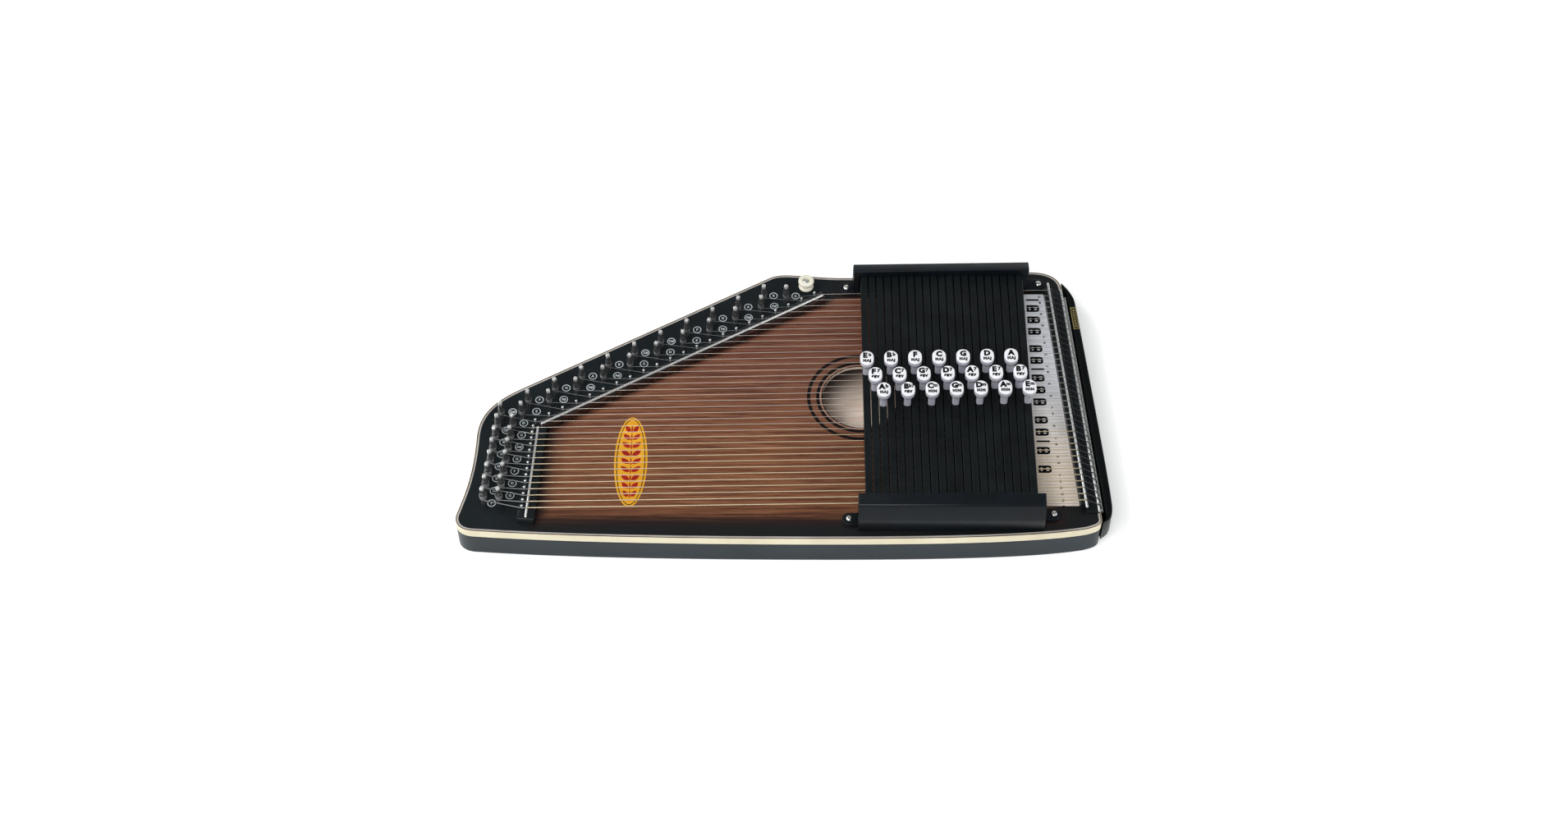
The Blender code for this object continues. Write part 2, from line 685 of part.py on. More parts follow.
def bar_outline(x):
    """A bar seen from above, with a notch in each end for a rib of the comb."""
    half = 0.5 * BAR_WIDTH
    notch = 0.5 * NOTCH_WIDTH
    near = NEAR_EDGE - BAR_END
    near_notch = NEAR_EDGE - NOTCH_END
    far = far_edge(x) + BAR_END
    far_notch = far_edge(x) + NOTCH_END
    return [
        (x - half, near), (x - notch, near), (x - notch, near_notch), (x + notch, near_notch),
        (x + notch, near), (x + half, near), (x + half, far), (x + notch, far),
        (x + notch, far_notch), (x - notch, far_notch), (x - notch, far), (x - half, far),
    ]


def make_bar(index):
    x = bar_x(index)
    half = 0.5 * FELT_WIDTH
    bar = plate([bar_outline(x)], BODY_DEPTH + BAR_BOTTOM, BODY_DEPTH + BAR_TOP)
    finish_part(bar, "chord_bar_%02d_%s" % (index + 1, CHORDS[index]), BLACK_PLASTIC)
    flat = rectangle(x - half, NEAR_EDGE + FELT_INSET, x + half, far_edge(x) - FELT_INSET)
    felt = plate([flat], BODY_DEPTH + FELT_BOTTOM, BODY_DEPTH + BAR_BOTTOM + 0.5 * GAP)
    finish_cutter(felt, "felt_%02d" % (index + 1))
    boolean(bar, felt, "UNION")


def eight_sided(x, y, half, z):
    """A rectangle with cut corners, at a height above the soundboard."""
    wide, long = half
    flat_x = FLAT_SHARE[0] * wide
    flat_y = FLAT_SHARE[1] * long
    corners = [
        (wide, -flat_y), (wide, flat_y), (flat_x, long), (-flat_x, long),
        (-wide, flat_y), (-wide, -flat_y), (-flat_x, -long), (flat_x, -long),
    ]
    return [(x + dx, y + dy, BODY_DEPTH + z) for dx, dy in corners]


def make_button(index):
    x = bar_x(index)
    y = BUTTON_ROWS[index % 3] + BUTTON_ROW_SLOPE * (x - BUTTON_ROW_MIDDLE)
    button = loft([
        eight_sided(x, y, POST_HALF, BAR_TOP + GAP),
        eight_sided(x, y, POST_HALF, POST_TOP),
        eight_sided(x, y, FACE_HALF, FACE_BOTTOM),
        eight_sided(x, y, FACE_HALF, BUTTON_TOP),
    ])
    finish_part(button, "button_%02d_%s" % (index + 1, CHORDS[index]), WHITE_PLASTIC)


def make_springs(name, far):
    """One coil spring under each bar end, all standing on a thin locating strip."""
    first = FIRST_BAR_X - 0.5 * BAR_PITCH
    base = holder_prism(SPRING_STRIP, first, first + BAR_PITCH * BAR_COUNT, far)
    finish_part(base, name, STEEL)
    bottom = SPRING_STRIP[0][1] + 2.0 * JOIN_STEP
    top = BAR_BOTTOM - GAP - SPRING_WIRE_RADIUS
    radius = SPRING_OUTER_RADIUS - SPRING_WIRE_RADIUS
    count = SPRING_TURNS * SPRING_POINTS
    paths = []
    for index in range(BAR_COUNT):
        x = bar_x(index)
        y = far_edge(x) + SPRING_OFFSET if far else NEAR_EDGE - SPRING_OFFSET
        path = []
        for k in range(count + 1):
            angle = 2.0 * math.pi * k / SPRING_POINTS
            height = BODY_DEPTH + bottom + (top - bottom) * k / count
            place = (x + radius * math.cos(angle), y + radius * math.sin(angle), height)
            path.append((place, SPRING_WIRE_RADIUS))
        paths.append(path)
    coils = solid_tubes(paths, 0)
    finish_cutter(coils, "coils_" + name)
    boolean(base, coils, "UNION")


def make_screws():
    head = EAR_TOP + GAP
    profile = [
        (SCREW_HEAD_FLAT * SCREW_HEAD_RADIUS, head + SCREW_HEAD_HEIGHT),
        (SCREW_HEAD_RADIUS, head + SCREW_HEAD_EDGE),
        (SCREW_HEAD_RADIUS, head),
        (SCREW_RADIUS, head),
        (SCREW_RADIUS, -SCREW_LENGTH),
    ]
    for side, places in (("near", NEAR_EARS), ("far", FAR_EARS)):
        for end, place in zip(("left", "right"), places):
            screw = turned(profile, place, BODY_DEPTH, SCREW_SIDES)
            finish_part(screw, "holder_screw_%s_%s" % (side, end), STEEL)


# ---------------------------------------------------------------- end cover and strap button

def edge_box(inner, outer, bottom, top):
    """A box along the body's right edge, between two distances outward from it."""
    start = Vector(OUTLINE[3][0])
    end = Vector(OUTLINE[4][0])
    along = (end - start).normalized()
    outward = Vector((along.y, -along.x))
    corners = []
    for y, distance in zip((0, 0, 1, 1), (inner, outer, outer, inner)):
        base = start + along * ((COVER_HOLLOW_ENDS[y] - start.y) / along.y)
        corners.append(tuple(base + outward * distance))
    return plate([corners], bottom, top)


def make_end_cover():
    outline = body_outline()
    grown = inset(outline, -GAP)
    corner = 4 * CURVE_STEPS - 1            # the outline point where the right edge begins
    inner = grown[corner - 1:corner + 3]
    cover = plate([COVER_OUTER + inner[::-1]], COVER_BOTTOM, BODY_DEPTH)
    finish_part(cover, "end_cover", LACQUER)
    under_top = BODY_DEPTH - COVER_WALL
    hollow = edge_box(-CUT_MARGIN, COVER_DEPTH, COVER_BOTTOM + COVER_WALL, under_top)
    slot = edge_box(-CUT_MARGIN, COVER_SLOT, under_top - GAP, BODY_DEPTH + CUT_MARGIN)
    finish_cutter(hollow, "cut_cover_hollow")
    finish_cutter(slot, "cut_cover_slot")
    boolean(cover, hollow, "DIFFERENCE")
    boolean(cover, slot, "DIFFERENCE")


def make_strap_button():
    button = turned(STRAP_BUTTON_PROFILE, STRAP_BUTTON, BODY_DEPTH, STRAP_BUTTON_SIDES)
    finish_part(button, "strap_button", CREAM)


clear_scene()
PARTS = new_collection("chorded_zither")
CUTTERS = new_collection("cutters")
ROOT = bpy.data.objects.new("chorded_zither_root", None)
PARTS.objects.link(ROOT)

make_body()
make_strings()
make_holder("bar_holder_near", False, NEAR_EARS)
make_holder("bar_holder_far", True, FAR_EARS)
make_springs("bar_springs_near", False)
make_springs("bar_springs_far", True)
make_screws()
make_end_cover()
make_strap_button()
for bar_index in range(BAR_COUNT):
    make_bar(bar_index)
    make_button(bar_index)
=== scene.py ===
"""The looks of a chorded zither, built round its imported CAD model.

Shapes are made in millimetres, with heights measured from the top face of the body, and turned into
metres by make(). Left and right run along X, the bass side is -Y and the treble side +Y.
"""

import random
from math import atan2, copysign, cos, pi, radians, sin, sqrt
from types import SimpleNamespace

import bmesh
import bpy
from mathutils import Matrix, Vector
from mathutils.geometry import tessellate_polygon


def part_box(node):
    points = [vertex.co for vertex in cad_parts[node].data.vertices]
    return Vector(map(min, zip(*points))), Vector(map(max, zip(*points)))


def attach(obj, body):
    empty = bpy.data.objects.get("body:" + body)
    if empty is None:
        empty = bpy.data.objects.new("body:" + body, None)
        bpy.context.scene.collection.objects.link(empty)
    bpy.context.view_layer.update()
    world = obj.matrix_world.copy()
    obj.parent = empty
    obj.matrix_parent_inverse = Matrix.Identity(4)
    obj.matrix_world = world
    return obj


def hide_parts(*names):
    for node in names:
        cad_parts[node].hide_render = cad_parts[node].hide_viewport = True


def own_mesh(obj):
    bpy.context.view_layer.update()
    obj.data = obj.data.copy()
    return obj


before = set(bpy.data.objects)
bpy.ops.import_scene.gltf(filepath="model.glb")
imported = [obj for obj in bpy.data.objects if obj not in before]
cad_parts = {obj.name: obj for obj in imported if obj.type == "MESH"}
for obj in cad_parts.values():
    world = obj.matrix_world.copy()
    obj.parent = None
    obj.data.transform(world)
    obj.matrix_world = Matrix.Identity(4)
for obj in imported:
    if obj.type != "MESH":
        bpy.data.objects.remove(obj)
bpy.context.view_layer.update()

MM = 0.001
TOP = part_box("soundboard")[1].z / MM  # the body's top face above the ground
GROUND = -TOP
ROOT = "body"

# ---------------- sizes: the CAD model's, but with thinner strings and rods

# Body outline: a start point, then (end, first control, second control); no controls means straight.
OUTLINE_START = (-276.9, -120.0)
OUTLINE = [
    ((-262.0, -135.5), (-278.0, -127.0), (-274.0, -134.6)),
    ((40.0, -143.6), (-180.0, -142.0), (-60.0, -143.6)),
    ((252.0, -134.0), (140.0, -143.6), (215.0, -141.0)),
    ((266.2, -124.0), (262.0, -131.5), (266.0, -129.0)),
    ((248.7, 124.8), None, None),
    ((222.0, 143.9), (247.8, 137.0), (238.0, 143.9)),
    ((50.0, 137.2), (165.0, 143.9), (110.0, 136.6)),
    ((-0.2, 140.5), (30.0, 137.4), (14.0, 140.6)),
    ((-15.0, 136.7), (-6.0, 140.4), (-10.0, 139.6)),
    ((-229.4, 13.2), None, None),
    ((-265.3, -38.0), (-252.0, 0.2), (-265.0, -14.0)),
    ((-276.9, -120.0), (-265.3, -85.0), (-273.0, -103.0)),
]
OUTLINE_STEPS = 14
SEAM = [(-218.3, -160.0), (-211.6, -32.5), (38.0, 112.4), (44.0, 160.0)]
CAVITY = [
    (-215.7, -117.0), (40.0, -119.6), (239.7, -112.0), (225.9, 118.0),
    (170.0, 118.0), (110.0, 114.5), (50.0, 113.0), (38.3, 113.0), (-211.3, -32.5),
]
PLATE = 3.0  # thickness of the back and of the soundboard
BINDING_WIDTH = 2.0
PURFLING_INSET = 2.6
BINDING_HEIGHT = 8.2
GROOVE = 0.8  # height of the shadow line under the binding
BRACES = [(0.0, -118.6, 78.0), (125.0, -115.6, 114.0)]
BRACE_HALF = 6.0
BRACE_HEIGHT = 10.0
HOLE = (65.1, 3.8)
HOLE_RADIUS = 32.7
ROSETTE = [(33.6, HOLE_RADIUS), (38.0, 35.1), (46.0, 43.2)]  # outer and inner radius of each dark ring

LEFT_NUT = [(-217.1, -127.6), (-211.9, -34.0)]
SLANTED_NUT = [(-209.8, -31.4), (34.3, 110.3)]
BRIDGE = [(253.3, -117.8), (235.4, 124.2)]
EDGE_ROD = [(264.4, -117.5), (247.6, 121.5)]
ROD_RADIUS = 1.1
ROD_TOP = 10.0
EDGE_ROD_TOP = 2.8
STRIP_TOP = 7.9
LEFT_NUT_SIDES = (-8.0, 7.2)
SLANTED_NUT_SIDES = (-5.5, 2.8)
BRIDGE_SIDES = (-4.3, 3.5)
BRIDGE_PLATE_TOP = 1.3

LEFT_STRING_COUNT = 14
WOUND_COUNT = 12
BASS_STRING_RIGHT = (252.1, -111.0)
TREBLE_STRING_RIGHT = (234.7, 114.9)
STRING_SLOPES = (0.0169, 0.0240)
WOUND_RADII = (0.5, 0.36)
PLAIN_RADII = (0.22, 0.15)
COIL_HEIGHT = 7.0
COIL_TURNS = 4
COIL_STEPS = 12
GUIDE_OFFSET = 3.9
ANCHOR_OFFSET = 3.4
ANCHOR_TOP = -3.5
TUNING = (
    "F G C D E F F# G A A# B C C# D D# E F F# G G# A A# B C C# D D# E F F# G G# A A# B C"
).split()
STRING_COUNT = len(TUNING)

PIN_RADIUS = 2.5
NOTE_RING = (3.7, 2.95)
PIN_TOP = 22.0
# Rows of pins: first pin, step, count, the first pin's string, and the way from a pin to its decal.
PIN_ROWS = [
    ((0.9, 110.6), (0.0, 0.0), 1, STRING_COUNT, (8.6, 5.6)),
    ((-18.9, 110.9), (-22.57, -12.87), 11, STRING_COUNT - 1, (8.6, 5.6)),
    ((-21.2, 98.9), (-22.86, -12.93), 10, STRING_COUNT - 2, (11.6, 5.8)),
    ((-233.8, -30.6), (-1.17, -12.57), 7, LEFT_STRING_COUNT, (8.2, 6.4)),
    ((-246.8, -30.6), (-1.2, -12.57), 7, LEFT_STRING_COUNT - 1, (6.4, -1.2)),
]

HOLDER_ENDS = (60.9, 217.1)
HOLDER_OUTER = [(0.0, 0.3), (17.0, 0.3), (17.0, 14.0), (11.0, 28.7), (0.0, 31.0)]
HOLDER_INNER = [(0.0, 25.0), (2.0, 25.0), (2.0, 28.5), (9.4, 27.0), (15.0, 13.6), (15.0, 2.8), (0.0, 2.8)]
HOLDER_CORNERS = [0.3, 0.8, 2.0, 1.6, 0.9]  # how far each outer corner is rounded
RIB = [(7.8, 2.3), (15.8, 2.3), (15.8, 13.8), (11.6, 24.0), (7.8, 24.0)]
RIB_WIDTH = 1.8
NEAR_EDGE = -117.7
FAR_EDGE = 118.6
FAR_SLOPE = 0.0173
EAR_RADIUS = 6.0
EAR_TOP = 3.3
NEAR_EARS = [(53.6, -125.0), (225.8, -120.3)]
FAR_EARS = [(55.1, 123.0), (227.5, 127.5)]
SCREW_HEAD = (2.75, 1.9)  # radius and height
SCREW_RADIUS = 1.3
SCREW_LENGTH = 14.0

BAR_HEIGHT = 6.0
BAR_END = 10.0
NOTCH_HALF = 1.3
NOTCH_END = 7.4
FELT_HALF = 2.95
FELT_BOTTOM = 15.0
FELT_INSET = 2.5
FELT_CUT = 2.5  # how deep a felt is cut away over the strings of its chord
FELT_CUT_HALF = 2.1
SPRING_OFFSET = 4.0
SPRING_RADIUS = 2.15
SPRING_WIRE = 0.35
SPRING_TURNS = 5
SPRING_STEPS = 14
SPRING_STRIP_TOP = 3.6
POST_HALF = (3.1, 3.4)
FACE_HALF = (5.9, 7.5)
POST_TOP = 34.0
FACE_BOTTOM = 40.0

COVER_OUTER = [
    (266.8, -127.3), (275.3, -121.7), (276.8, -102.6), (260.4, 108.3),
    (258.9, 116.2), (253.9, 125.3), (248.8, 131.0),
]
COVER_BOTTOM = 8.0
COVER_WALL = 2.5
COVER_SLOT = 4.0
STRAP_BUTTON = (19.0, 127.2)
DECAL = (-131.7, -64.7)
DECAL_HALF = (14.2, 46.5)
LABEL = (258.2, 91.0)
LABEL_HALF = (2.8, 12.5)
CHART_LEFT = 213.0
CHART_RIGHT = [(248.2, -110.3), (231.8, 117.7)]
CHART_TOP = 0.35
CHART_MIDDLE = 222.5
KEY_BOXES = [(215.8, 221.6, 1.0), (220.6, 227.2, 3.2)]  # left, right, cut of the right corners

FLAT = 0.04  # thickness of a layer of ink or paint
PITCHES = {"c": 0, "d": 2, "e": 4, "f": 5, "g": 7, "a": 9, "b": 11}
CHORD_STEPS = {"major": (0, 4, 7), "minor": (0, 3, 7), "seventh": (0, 4, 7, 10)}
CHORD_WORDS = {"major": "MAJ", "minor": "MIN", "seventh": "SEV"}
CHORD_MARKS = {"major": "", "minor": "m", "seventh": "7"}


# ---------------- outlines

def bezier_run(start, first, second, end, steps):
    """Points along a curve with two controls, after its start."""
    points = []
    for k in range(1, steps + 1):
        t = k / steps
        shares = ((1.0 - t) ** 3, 3.0 * (1.0 - t) ** 2 * t, 3.0 * (1.0 - t) * t * t, t ** 3)
        corners = (start, first, second, end)
        points.append(tuple(sum(share * corner[i] for share, corner in zip(shares, corners)) for i in (0, 1)))
    return points


def body_outline():
    points = []
    here = OUTLINE_START
    for end, first, second in OUTLINE:
        points += bezier_run(here, first, second, end, OUTLINE_STEPS) if first else [end]
        here = end
    return points


def inset(loop, distance):
    """Move the sides of a loop to their left: inwards on an outline, and into the material on a hole."""
    if not distance:
        return list(loop)
    moved = []
    for k, point in enumerate(loop):
        here = Vector(point)
        first = (here - Vector(loop[k - 1])).normalized()
        second = (Vector(loop[(k + 1) % len(loop)]) - here).normalized()
        normal = Vector((-first.y - second.y, first.x + second.x)).normalized()
        spread = max(0.3, normal.dot(Vector((-first.y, first.x))))
        moved.append(tuple(here + normal * (distance / spread)))
    return moved


def soften(loop, cuts, steps=4):
    """Round the corners of a loop; cuts says how far from each corner its curve starts."""
    points = []
    for k, (point, cut) in enumerate(zip(loop, cuts)):
        here = Vector(point)
        start = here + (Vector(loop[k - 1]) - here).normalized() * cut
        end = here + (Vector(loop[(k + 1) % len(loop)]) - here).normalized() * cut
        for j in range(steps + 1):
            t = j / steps
            points.append(tuple(start * (1 - t) ** 2 + here * (2 * t * (1 - t)) + end * t * t))
    return points


def circle(count, turn=0.0):
    """Points at equal steps round a circle of radius 1."""
    angles = [turn + 2.0 * pi * k / count for k in range(count)]
    return [Vector((cos(angle), sin(angle))) for angle in angles]


def ellipse(centre, half, sides=96):
    return [(centre[0] + half[0] * x, centre[1] + half[1] * y) for x, y in circle(sides)]


def rectangle(x0, y0, x1, y1):
    return [(x0, y0), (x1, y0), (x1, y1), (x0, y1)]


def stadium(centre, half, sides):
    """Straight long sides with round ends, along Y."""
    straight = max(0.0, half[1] - half[0])
    points = []
    for x, y in ellipse((0.0, 0.0), (half[0], min(half)), sides):
        lift = copysign(straight, y) if abs(y) > 1e-6 else 0.0
        points.append((centre[0] + x, centre[1] + y + lift))
    return points


def hole(loop):
    """A loop turned round, so that a slab leaves it open."""
    return list(reversed(loop))


def ways(line):
    """Unit vectors along a line and to its right."""
    way = (Vector(line[1]) - Vector(line[0])).normalized()
    return way, Vector((way.y, -way.x))


def strip_outline(line, left, right, extra):
    """A strip between two offsets to a line's right, longer than the line at each end."""
    way, side = ways(line)
    low, high = Vector(line[0]) - way * extra, Vector(line[1]) + way * extra
    return [tuple(end + side * out) for end, out in ((low, left), (low, right), (high, right), (high, left))]


def rounded(bottom, top, above=0.0, below=0.0, steps=3):
    """(inset, height) levels of a slab, from bottom to top, with its lower and upper edges rounded."""
    turns = [(cos(angle), sin(angle)) for angle in (0.5 * pi * k / steps for k in range(steps + 1))]
    low = [(below * (1.0 - s), bottom + below * (1.0 - c)) for c, s in turns[:steps + 1 if below else 1]]
    high = [(above * (1.0 - c), top - above * (1.0 - s)) for c, s in turns[:steps + 1 if above else 1]]
    return low + high


# ---------------- shapes

class Shape:
    """Points and faces of one piece, in millimetres."""

    def __init__(self):
        self.points = []
        self.faces = []
        self.smooth = []
        self.looks = []

    def ring(self, points):
        """Add points, and give their numbers."""
        start = len(self.points)
        self.points += [Vector(point) for point in points]
        return range(start, len(self.points))

    def face(self, corners, look=0, smooth=True):
        self.faces.append(list(corners))
        self.looks.append(look)
        self.smooth.append(smooth)

    def wall(self, rings, looks):
        """Faces between rings of equal count, or of one point, with a look for each step."""
        for low, high, look in zip(rings, rings[1:], looks):
            count = max(len(low), len(high))
            for k in range(count):
                after = (k + 1) % count
                lower = (low[k % len(low)], low[after % len(low)])
                self.face(dict.fromkeys((*lower, high[after % len(high)], high[k % len(high)])), look)

    def join(self, other, matrix):
        numbers = self.ring(matrix @ point for point in other.points)
        self.faces += [[numbers[corner] for corner in face] for face in other.faces]
        self.smooth += other.smooth
        self.looks += other.looks
        return self

    def slab(self, loops, levels, hole_look=0, level_looks=(), cap_look=0):
        """A plate. Its first loop is the outline, counter-clockwise, and the others are holes, clockwise."""
        bottoms, tops = [], []
        looks = [*level_looks] or [0] * len(levels)
        for loop in loops:
            rings = [self.ring((x, y, height) for x, y in inset(loop, cut)) for cut, height in levels]
            self.wall(rings, looks)
            bottoms.append(rings[0])
            tops.append(rings[-1])
            levels = [(0.0, levels[0][1]), (0.0, levels[-1][1])]
            looks = [hole_look]
        for rings in (bottoms, tops):
            flat = [corner for ring in rings for corner in ring]
            caps = [range(len(flat))]
            if len(rings) > 1:
                caps = tessellate_polygon([[self.points[corner] for corner in ring] for ring in rings])
            for cap in caps:
                self.face([flat[corner] for corner in cap], cap_look, False)
        return self

    def loft(self, rings, changes_at=None):
        """A skin over rings of equal count, closed at both ends; its look can change above a ring."""
        rings = [self.ring(ring) for ring in rings]
        looks = [int(changes_at is not None and level >= changes_at) for level in range(len(rings))]
        self.wall(rings, looks)
        self.face(reversed(rings[0]), 0, False)
        self.face(rings[-1], looks[-1], False)
        return self

    def tube(self, path, radius, sides=8):
        """A round wire along (x, y, height) points."""
        points = [Vector(point) for point in path]
        rings = []
        normal = (points[1] - points[0]).orthogonal()
        for k, point in enumerate(points):
            tangent = (points[min(k + 1, len(points) - 1)] - points[max(k - 1, 0)]).normalized()
            normal = (normal - tangent * normal.dot(tangent)).normalized()
            side = tangent.cross(normal)
            rings.append([point + (normal * x + side * y) * radius for x, y in circle(sides)])
        return self.loft(rings)

    def lathe(self, profile, centre, sides):
        """A turned shape from (radius, height) points, both ends of which are on its axis."""
        rings = []
        for radius, height in profile:
            points = ellipse(centre, (radius, radius), sides if radius else 1)
            rings.append(self.ring((x, y, height) for x, y in points))
        self.wall(rings, [0] * len(rings))
        return self

    def lettering(self, text, size, centre, height, bold, gap=1.0):
        """Flat letters standing a layer of ink above a height."""
        curve = bpy.data.curves.new("letters", "FONT")
        curve.body = text
        curve.size = size
        curve.extrude = 0.5 * FLAT
        curve.offset = bold
        curve.space_character = gap
        curve.align_x = "CENTER"
        curve.align_y = "CENTER"
        curve.resolution_u = 2
        place = Matrix.Translation((*centre, height + 0.5 * FLAT))
        self.take(bpy.data.objects.new("letters", curve), place)
        bpy.data.curves.remove(curve)
        return self

    def take(self, source, matrix):
        """Add the evaluated mesh of a helper object, and remove the helper."""
        bpy.context.scene.collection.objects.link(source)
        bpy.context.view_layer.update()
        mesh = bpy.data.meshes.new_from_object(source.evaluated_get(bpy.context.evaluated_depsgraph_get()))
        shape = bmesh.new()
        shape.from_mesh(mesh)
        bmesh.ops.remove_doubles(shape, verts=shape.verts, dist=0.0005)
        numbers = self.ring(matrix @ vertex.co for vertex in shape.verts)
        for face in shape.faces:
            self.face([numbers[vertex.index] for vertex in face.verts], smooth=False)
        shape.free()
        bpy.data.meshes.remove(mesh)
        bpy.data.objects.remove(source)
        return self


def plate(loops, bottom, top, above=0.0, below=0.0, steps=3, **looks):
    """A slab whose lower and upper edges can be rounded."""
    return Shape().slab(loops, rounded(bottom, top, above, below, steps), **looks)


def mesh_of(name, points, faces):
    """A mesh with its faces turned outwards."""
    mesh = bpy.data.meshes.new(name)
    mesh.from_pydata(points, [], faces)
    tidy = bmesh.new()
    tidy.from_mesh(mesh)
    bmesh.ops.recalc_face_normals(tidy, faces=tidy.faces)
    tidy.to_mesh(mesh)
    tidy.free()
    return mesh


def add_object(name, data):
    made = bpy.data.objects.new(name, data)
    bpy.context.scene.collection.objects.link(made)
    return made


def make(name, shape, looks, slot, node=None, body=ROOT, crease=38.0):
    """One piece of the visual model, riding on a body, and the CAD node that it stands for."""
    mesh = mesh_of(name, [(p.x * MM, p.y * MM, (p.z + TOP) * MM) for p in shape.points], shape.faces)
    mesh.polygons.foreach_set("use_smooth", shape.smooth)
    mesh.polygons.foreach_set("material_index", shape.looks)
    mesh.set_sharp_from_angle(angle=radians(crease))
    for look in looks if isinstance(looks, list) else [looks]:
        mesh.materials.append(look)
    piece = add_object(name, mesh)
    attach(piece, body)
    if node:
        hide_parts(node)
    return piece


# ---------------- materials

def rgb(values):
    """A display colour from 0 to 255 as a linear one."""
    shares = [value / 255.0 for value in values]
    return (*[v / 12.92 if v <= 0.04045 else ((v + 0.055) / 1.055) ** 2.4 for v in shares], 1.0)


class Look:
    """A Principled material with short calls for its node tree."""

    def __init__(self, name, metallic=0.0, specular=0.5, sheen=0.0, subsurface=0.0):
        self.material = bpy.data.materials.new(name)
        self.material.use_nodes = True
        self.tree = self.material.node_tree
        self.shader = self.tree.nodes["Principled BSDF"]
        self.fill(self.shader, {
            "Metallic": metallic, "Specular IOR Level": specular, "Sheen Weight": sheen,
            "Subsurface Weight": subsurface, "Subsurface Scale": 0.002,
        })

    def fill(self, node, inputs):
        """Set or link inputs, given by name or number."""
        for name, value in inputs.items():
            if isinstance(value, bpy.types.NodeSocket):
                self.tree.links.new(value, node.inputs[name])
            else:
                node.inputs[name].default_value = value

    def node(self, kind, inputs, output, **settings):
        """Add a node, and give one of its outputs."""
        made = self.tree.nodes.new("ShaderNode" + kind)
        for name, value in settings.items():
            setattr(made, name, value)
        self.fill(made, inputs)
        return made.outputs[output]

    def place(self, *scale):
        """Object coordinates in millimetres, times a scale along each axis."""
        coords = self.node("TexCoord", {}, "Object")
        scales = [value / MM for value in scale or [1.0] * 3]
        return self.node("Mapping", {"Vector": coords, "Scale": scales}, "Vector")

    def noise(self, scale, detail=4.0, roughness=0.55):
        """Noise whose cells are about one unit of the scaled coordinates."""
        inputs = {"Vector": self.place(*scale), "Scale": 1.0, "Detail": detail, "Roughness": roughness}
        return self.node("TexNoise", inputs, "Fac")

    def maths(self, operation, a, b):
        return self.node("Math", {0: a, 1: b}, 0, operation=operation)

    def spread(self, value, low, high, to_low=0.0, to_high=1.0, smooth=False):
        inputs = {"Value": value, "From Min": low, "From Max": high, "To Min": to_low, "To Max": to_high}
        return self.node("MapRange", inputs, 0, interpolation_type="SMOOTHSTEP" if smooth else "LINEAR")

    def mix(self, share, *colours):
        """Two colours, each a node's output or display values, mixed by a share."""
        first, second = [rgb(colour) if isinstance(colour, tuple) else colour for colour in colours]
        return self.node("Mix", {0: share, 6: first, 7: second}, 2, data_type="RGBA")

    def beyond(self, point, facing):
        """Signed distance in millimetres from a line through a point, growing the way it faces."""
        way = Vector(facing).normalized()
        inputs = {0: self.place(), 1: (way.x, way.y, 0.0)}
        along_way = self.node("VectorMath", inputs, "Value", operation="DOT_PRODUCT")
        return self.maths("SUBTRACT", along_way, Vector(point).dot(way))

    def finish(self, colour, rough_by, rough, bump_by=None, bump=0.0, strength=1.0):
        """Set the colour, the roughness between two values and the bump in millimetres."""
        inputs = {"Base Color": colour, "Roughness": self.spread(rough_by, 0.3, 0.7, *rough)}
        if bump:
            bumps = {"Strength": strength, "Distance": bump * MM, "Height": bump_by}
            inputs["Normal"] = self.node("Bump", bumps, 0)
        self.fill(self.shader, inputs)
        return self.material


def surface(name, dark, light, cell, rough, bump=0.0, **facts):
    """A finish that varies between two colours in patches, with uneven gloss and a fine texture."""
    look = Look(name, **facts)
    patches = look.noise([1.0 / cell] * 3)
    fine = look.noise([3.0 / cell] * 3, 2.0)
    return look.finish(look.mix(look.spread(patches, 0.3, 0.7), dark, light), fine, rough, fine, bump)


def bare_wood(name, dark, light, shaded=False):
    """Plain wood; shaded, it carries a painted shadow, darker towards the far left side of the sound hole."""
    look = Look(name)
    streaks = look.noise((0.02, 0.6, 0.6), 5.0, 0.6)
    wood = look.mix(look.spread(streaks, 0.35, 0.65), dark, light)
    if shaded:
        # Painted shadow: the wood darkens towards the far left side of the hole, where the hole's edge would
        # shade it.
        painted_shadow = look.spread(look.beyond(HOLE, (-0.5, 0.865)), 18.0, 48.0, 0.0, 0.92, smooth=True)
        wood = look.mix(painted_shadow, wood, (72, 58, 52))
    return look.finish(wood, streaks, (0.5, 0.65), streaks, 0.05, 0.5)


def chart_paper():
    """Printed card: cool white, turning cream towards the bass side."""
    look = Look("chart_paper")
    fibres = look.noise((0.5, 0.5, 0.5), 3.0)
    cool = look.mix(fibres, (232, 236, 244), (248, 250, 255))
    cream = look.mix(fibres, (220, 206, 190), (238, 226, 212))
    colour = look.mix(look.spread(look.beyond((0.0, -70.0), (0.0, 1.0)), 0.0, 90.0), cream, cool)
    return look.finish(colour, fibres, (0.35, 0.5), fibres, 0.02, 0.3)


def darkened_ends(look, wire, nut, facing):
    """A wire's colour between nut and bridge, greyer towards the pins and darker past the bridge."""
    past_nut = look.spread(look.beyond(nut[0], facing), -1.0, 1.0)
    past_bridge = look.spread(look.beyond(BRIDGE[0], (1.0, 0.074)), -1.0, 1.0)
    return look.mix(past_bridge, look.mix(past_nut, wire, (128, 130, 130)), (74, 76, 78))


def wound_wire():
    """Bronze winding, in close turns along X."""
    look = Look("wound_wire", metallic=1.0)
    inputs = {"Vector": look.place(), "Scale": 0.45, "Distortion": 0.4}
    turns = look.node("TexWave", inputs, "Fac", bands_direction="X")
    bronze = look.mix(turns, (176, 156, 124), (238, 224, 196))
    colour = darkened_ends(look, bronze, LEFT_NUT, (-1.0, 0.055))
    return look.finish(colour, turns, (0.34, 0.46), turns, 0.06, 0.6)


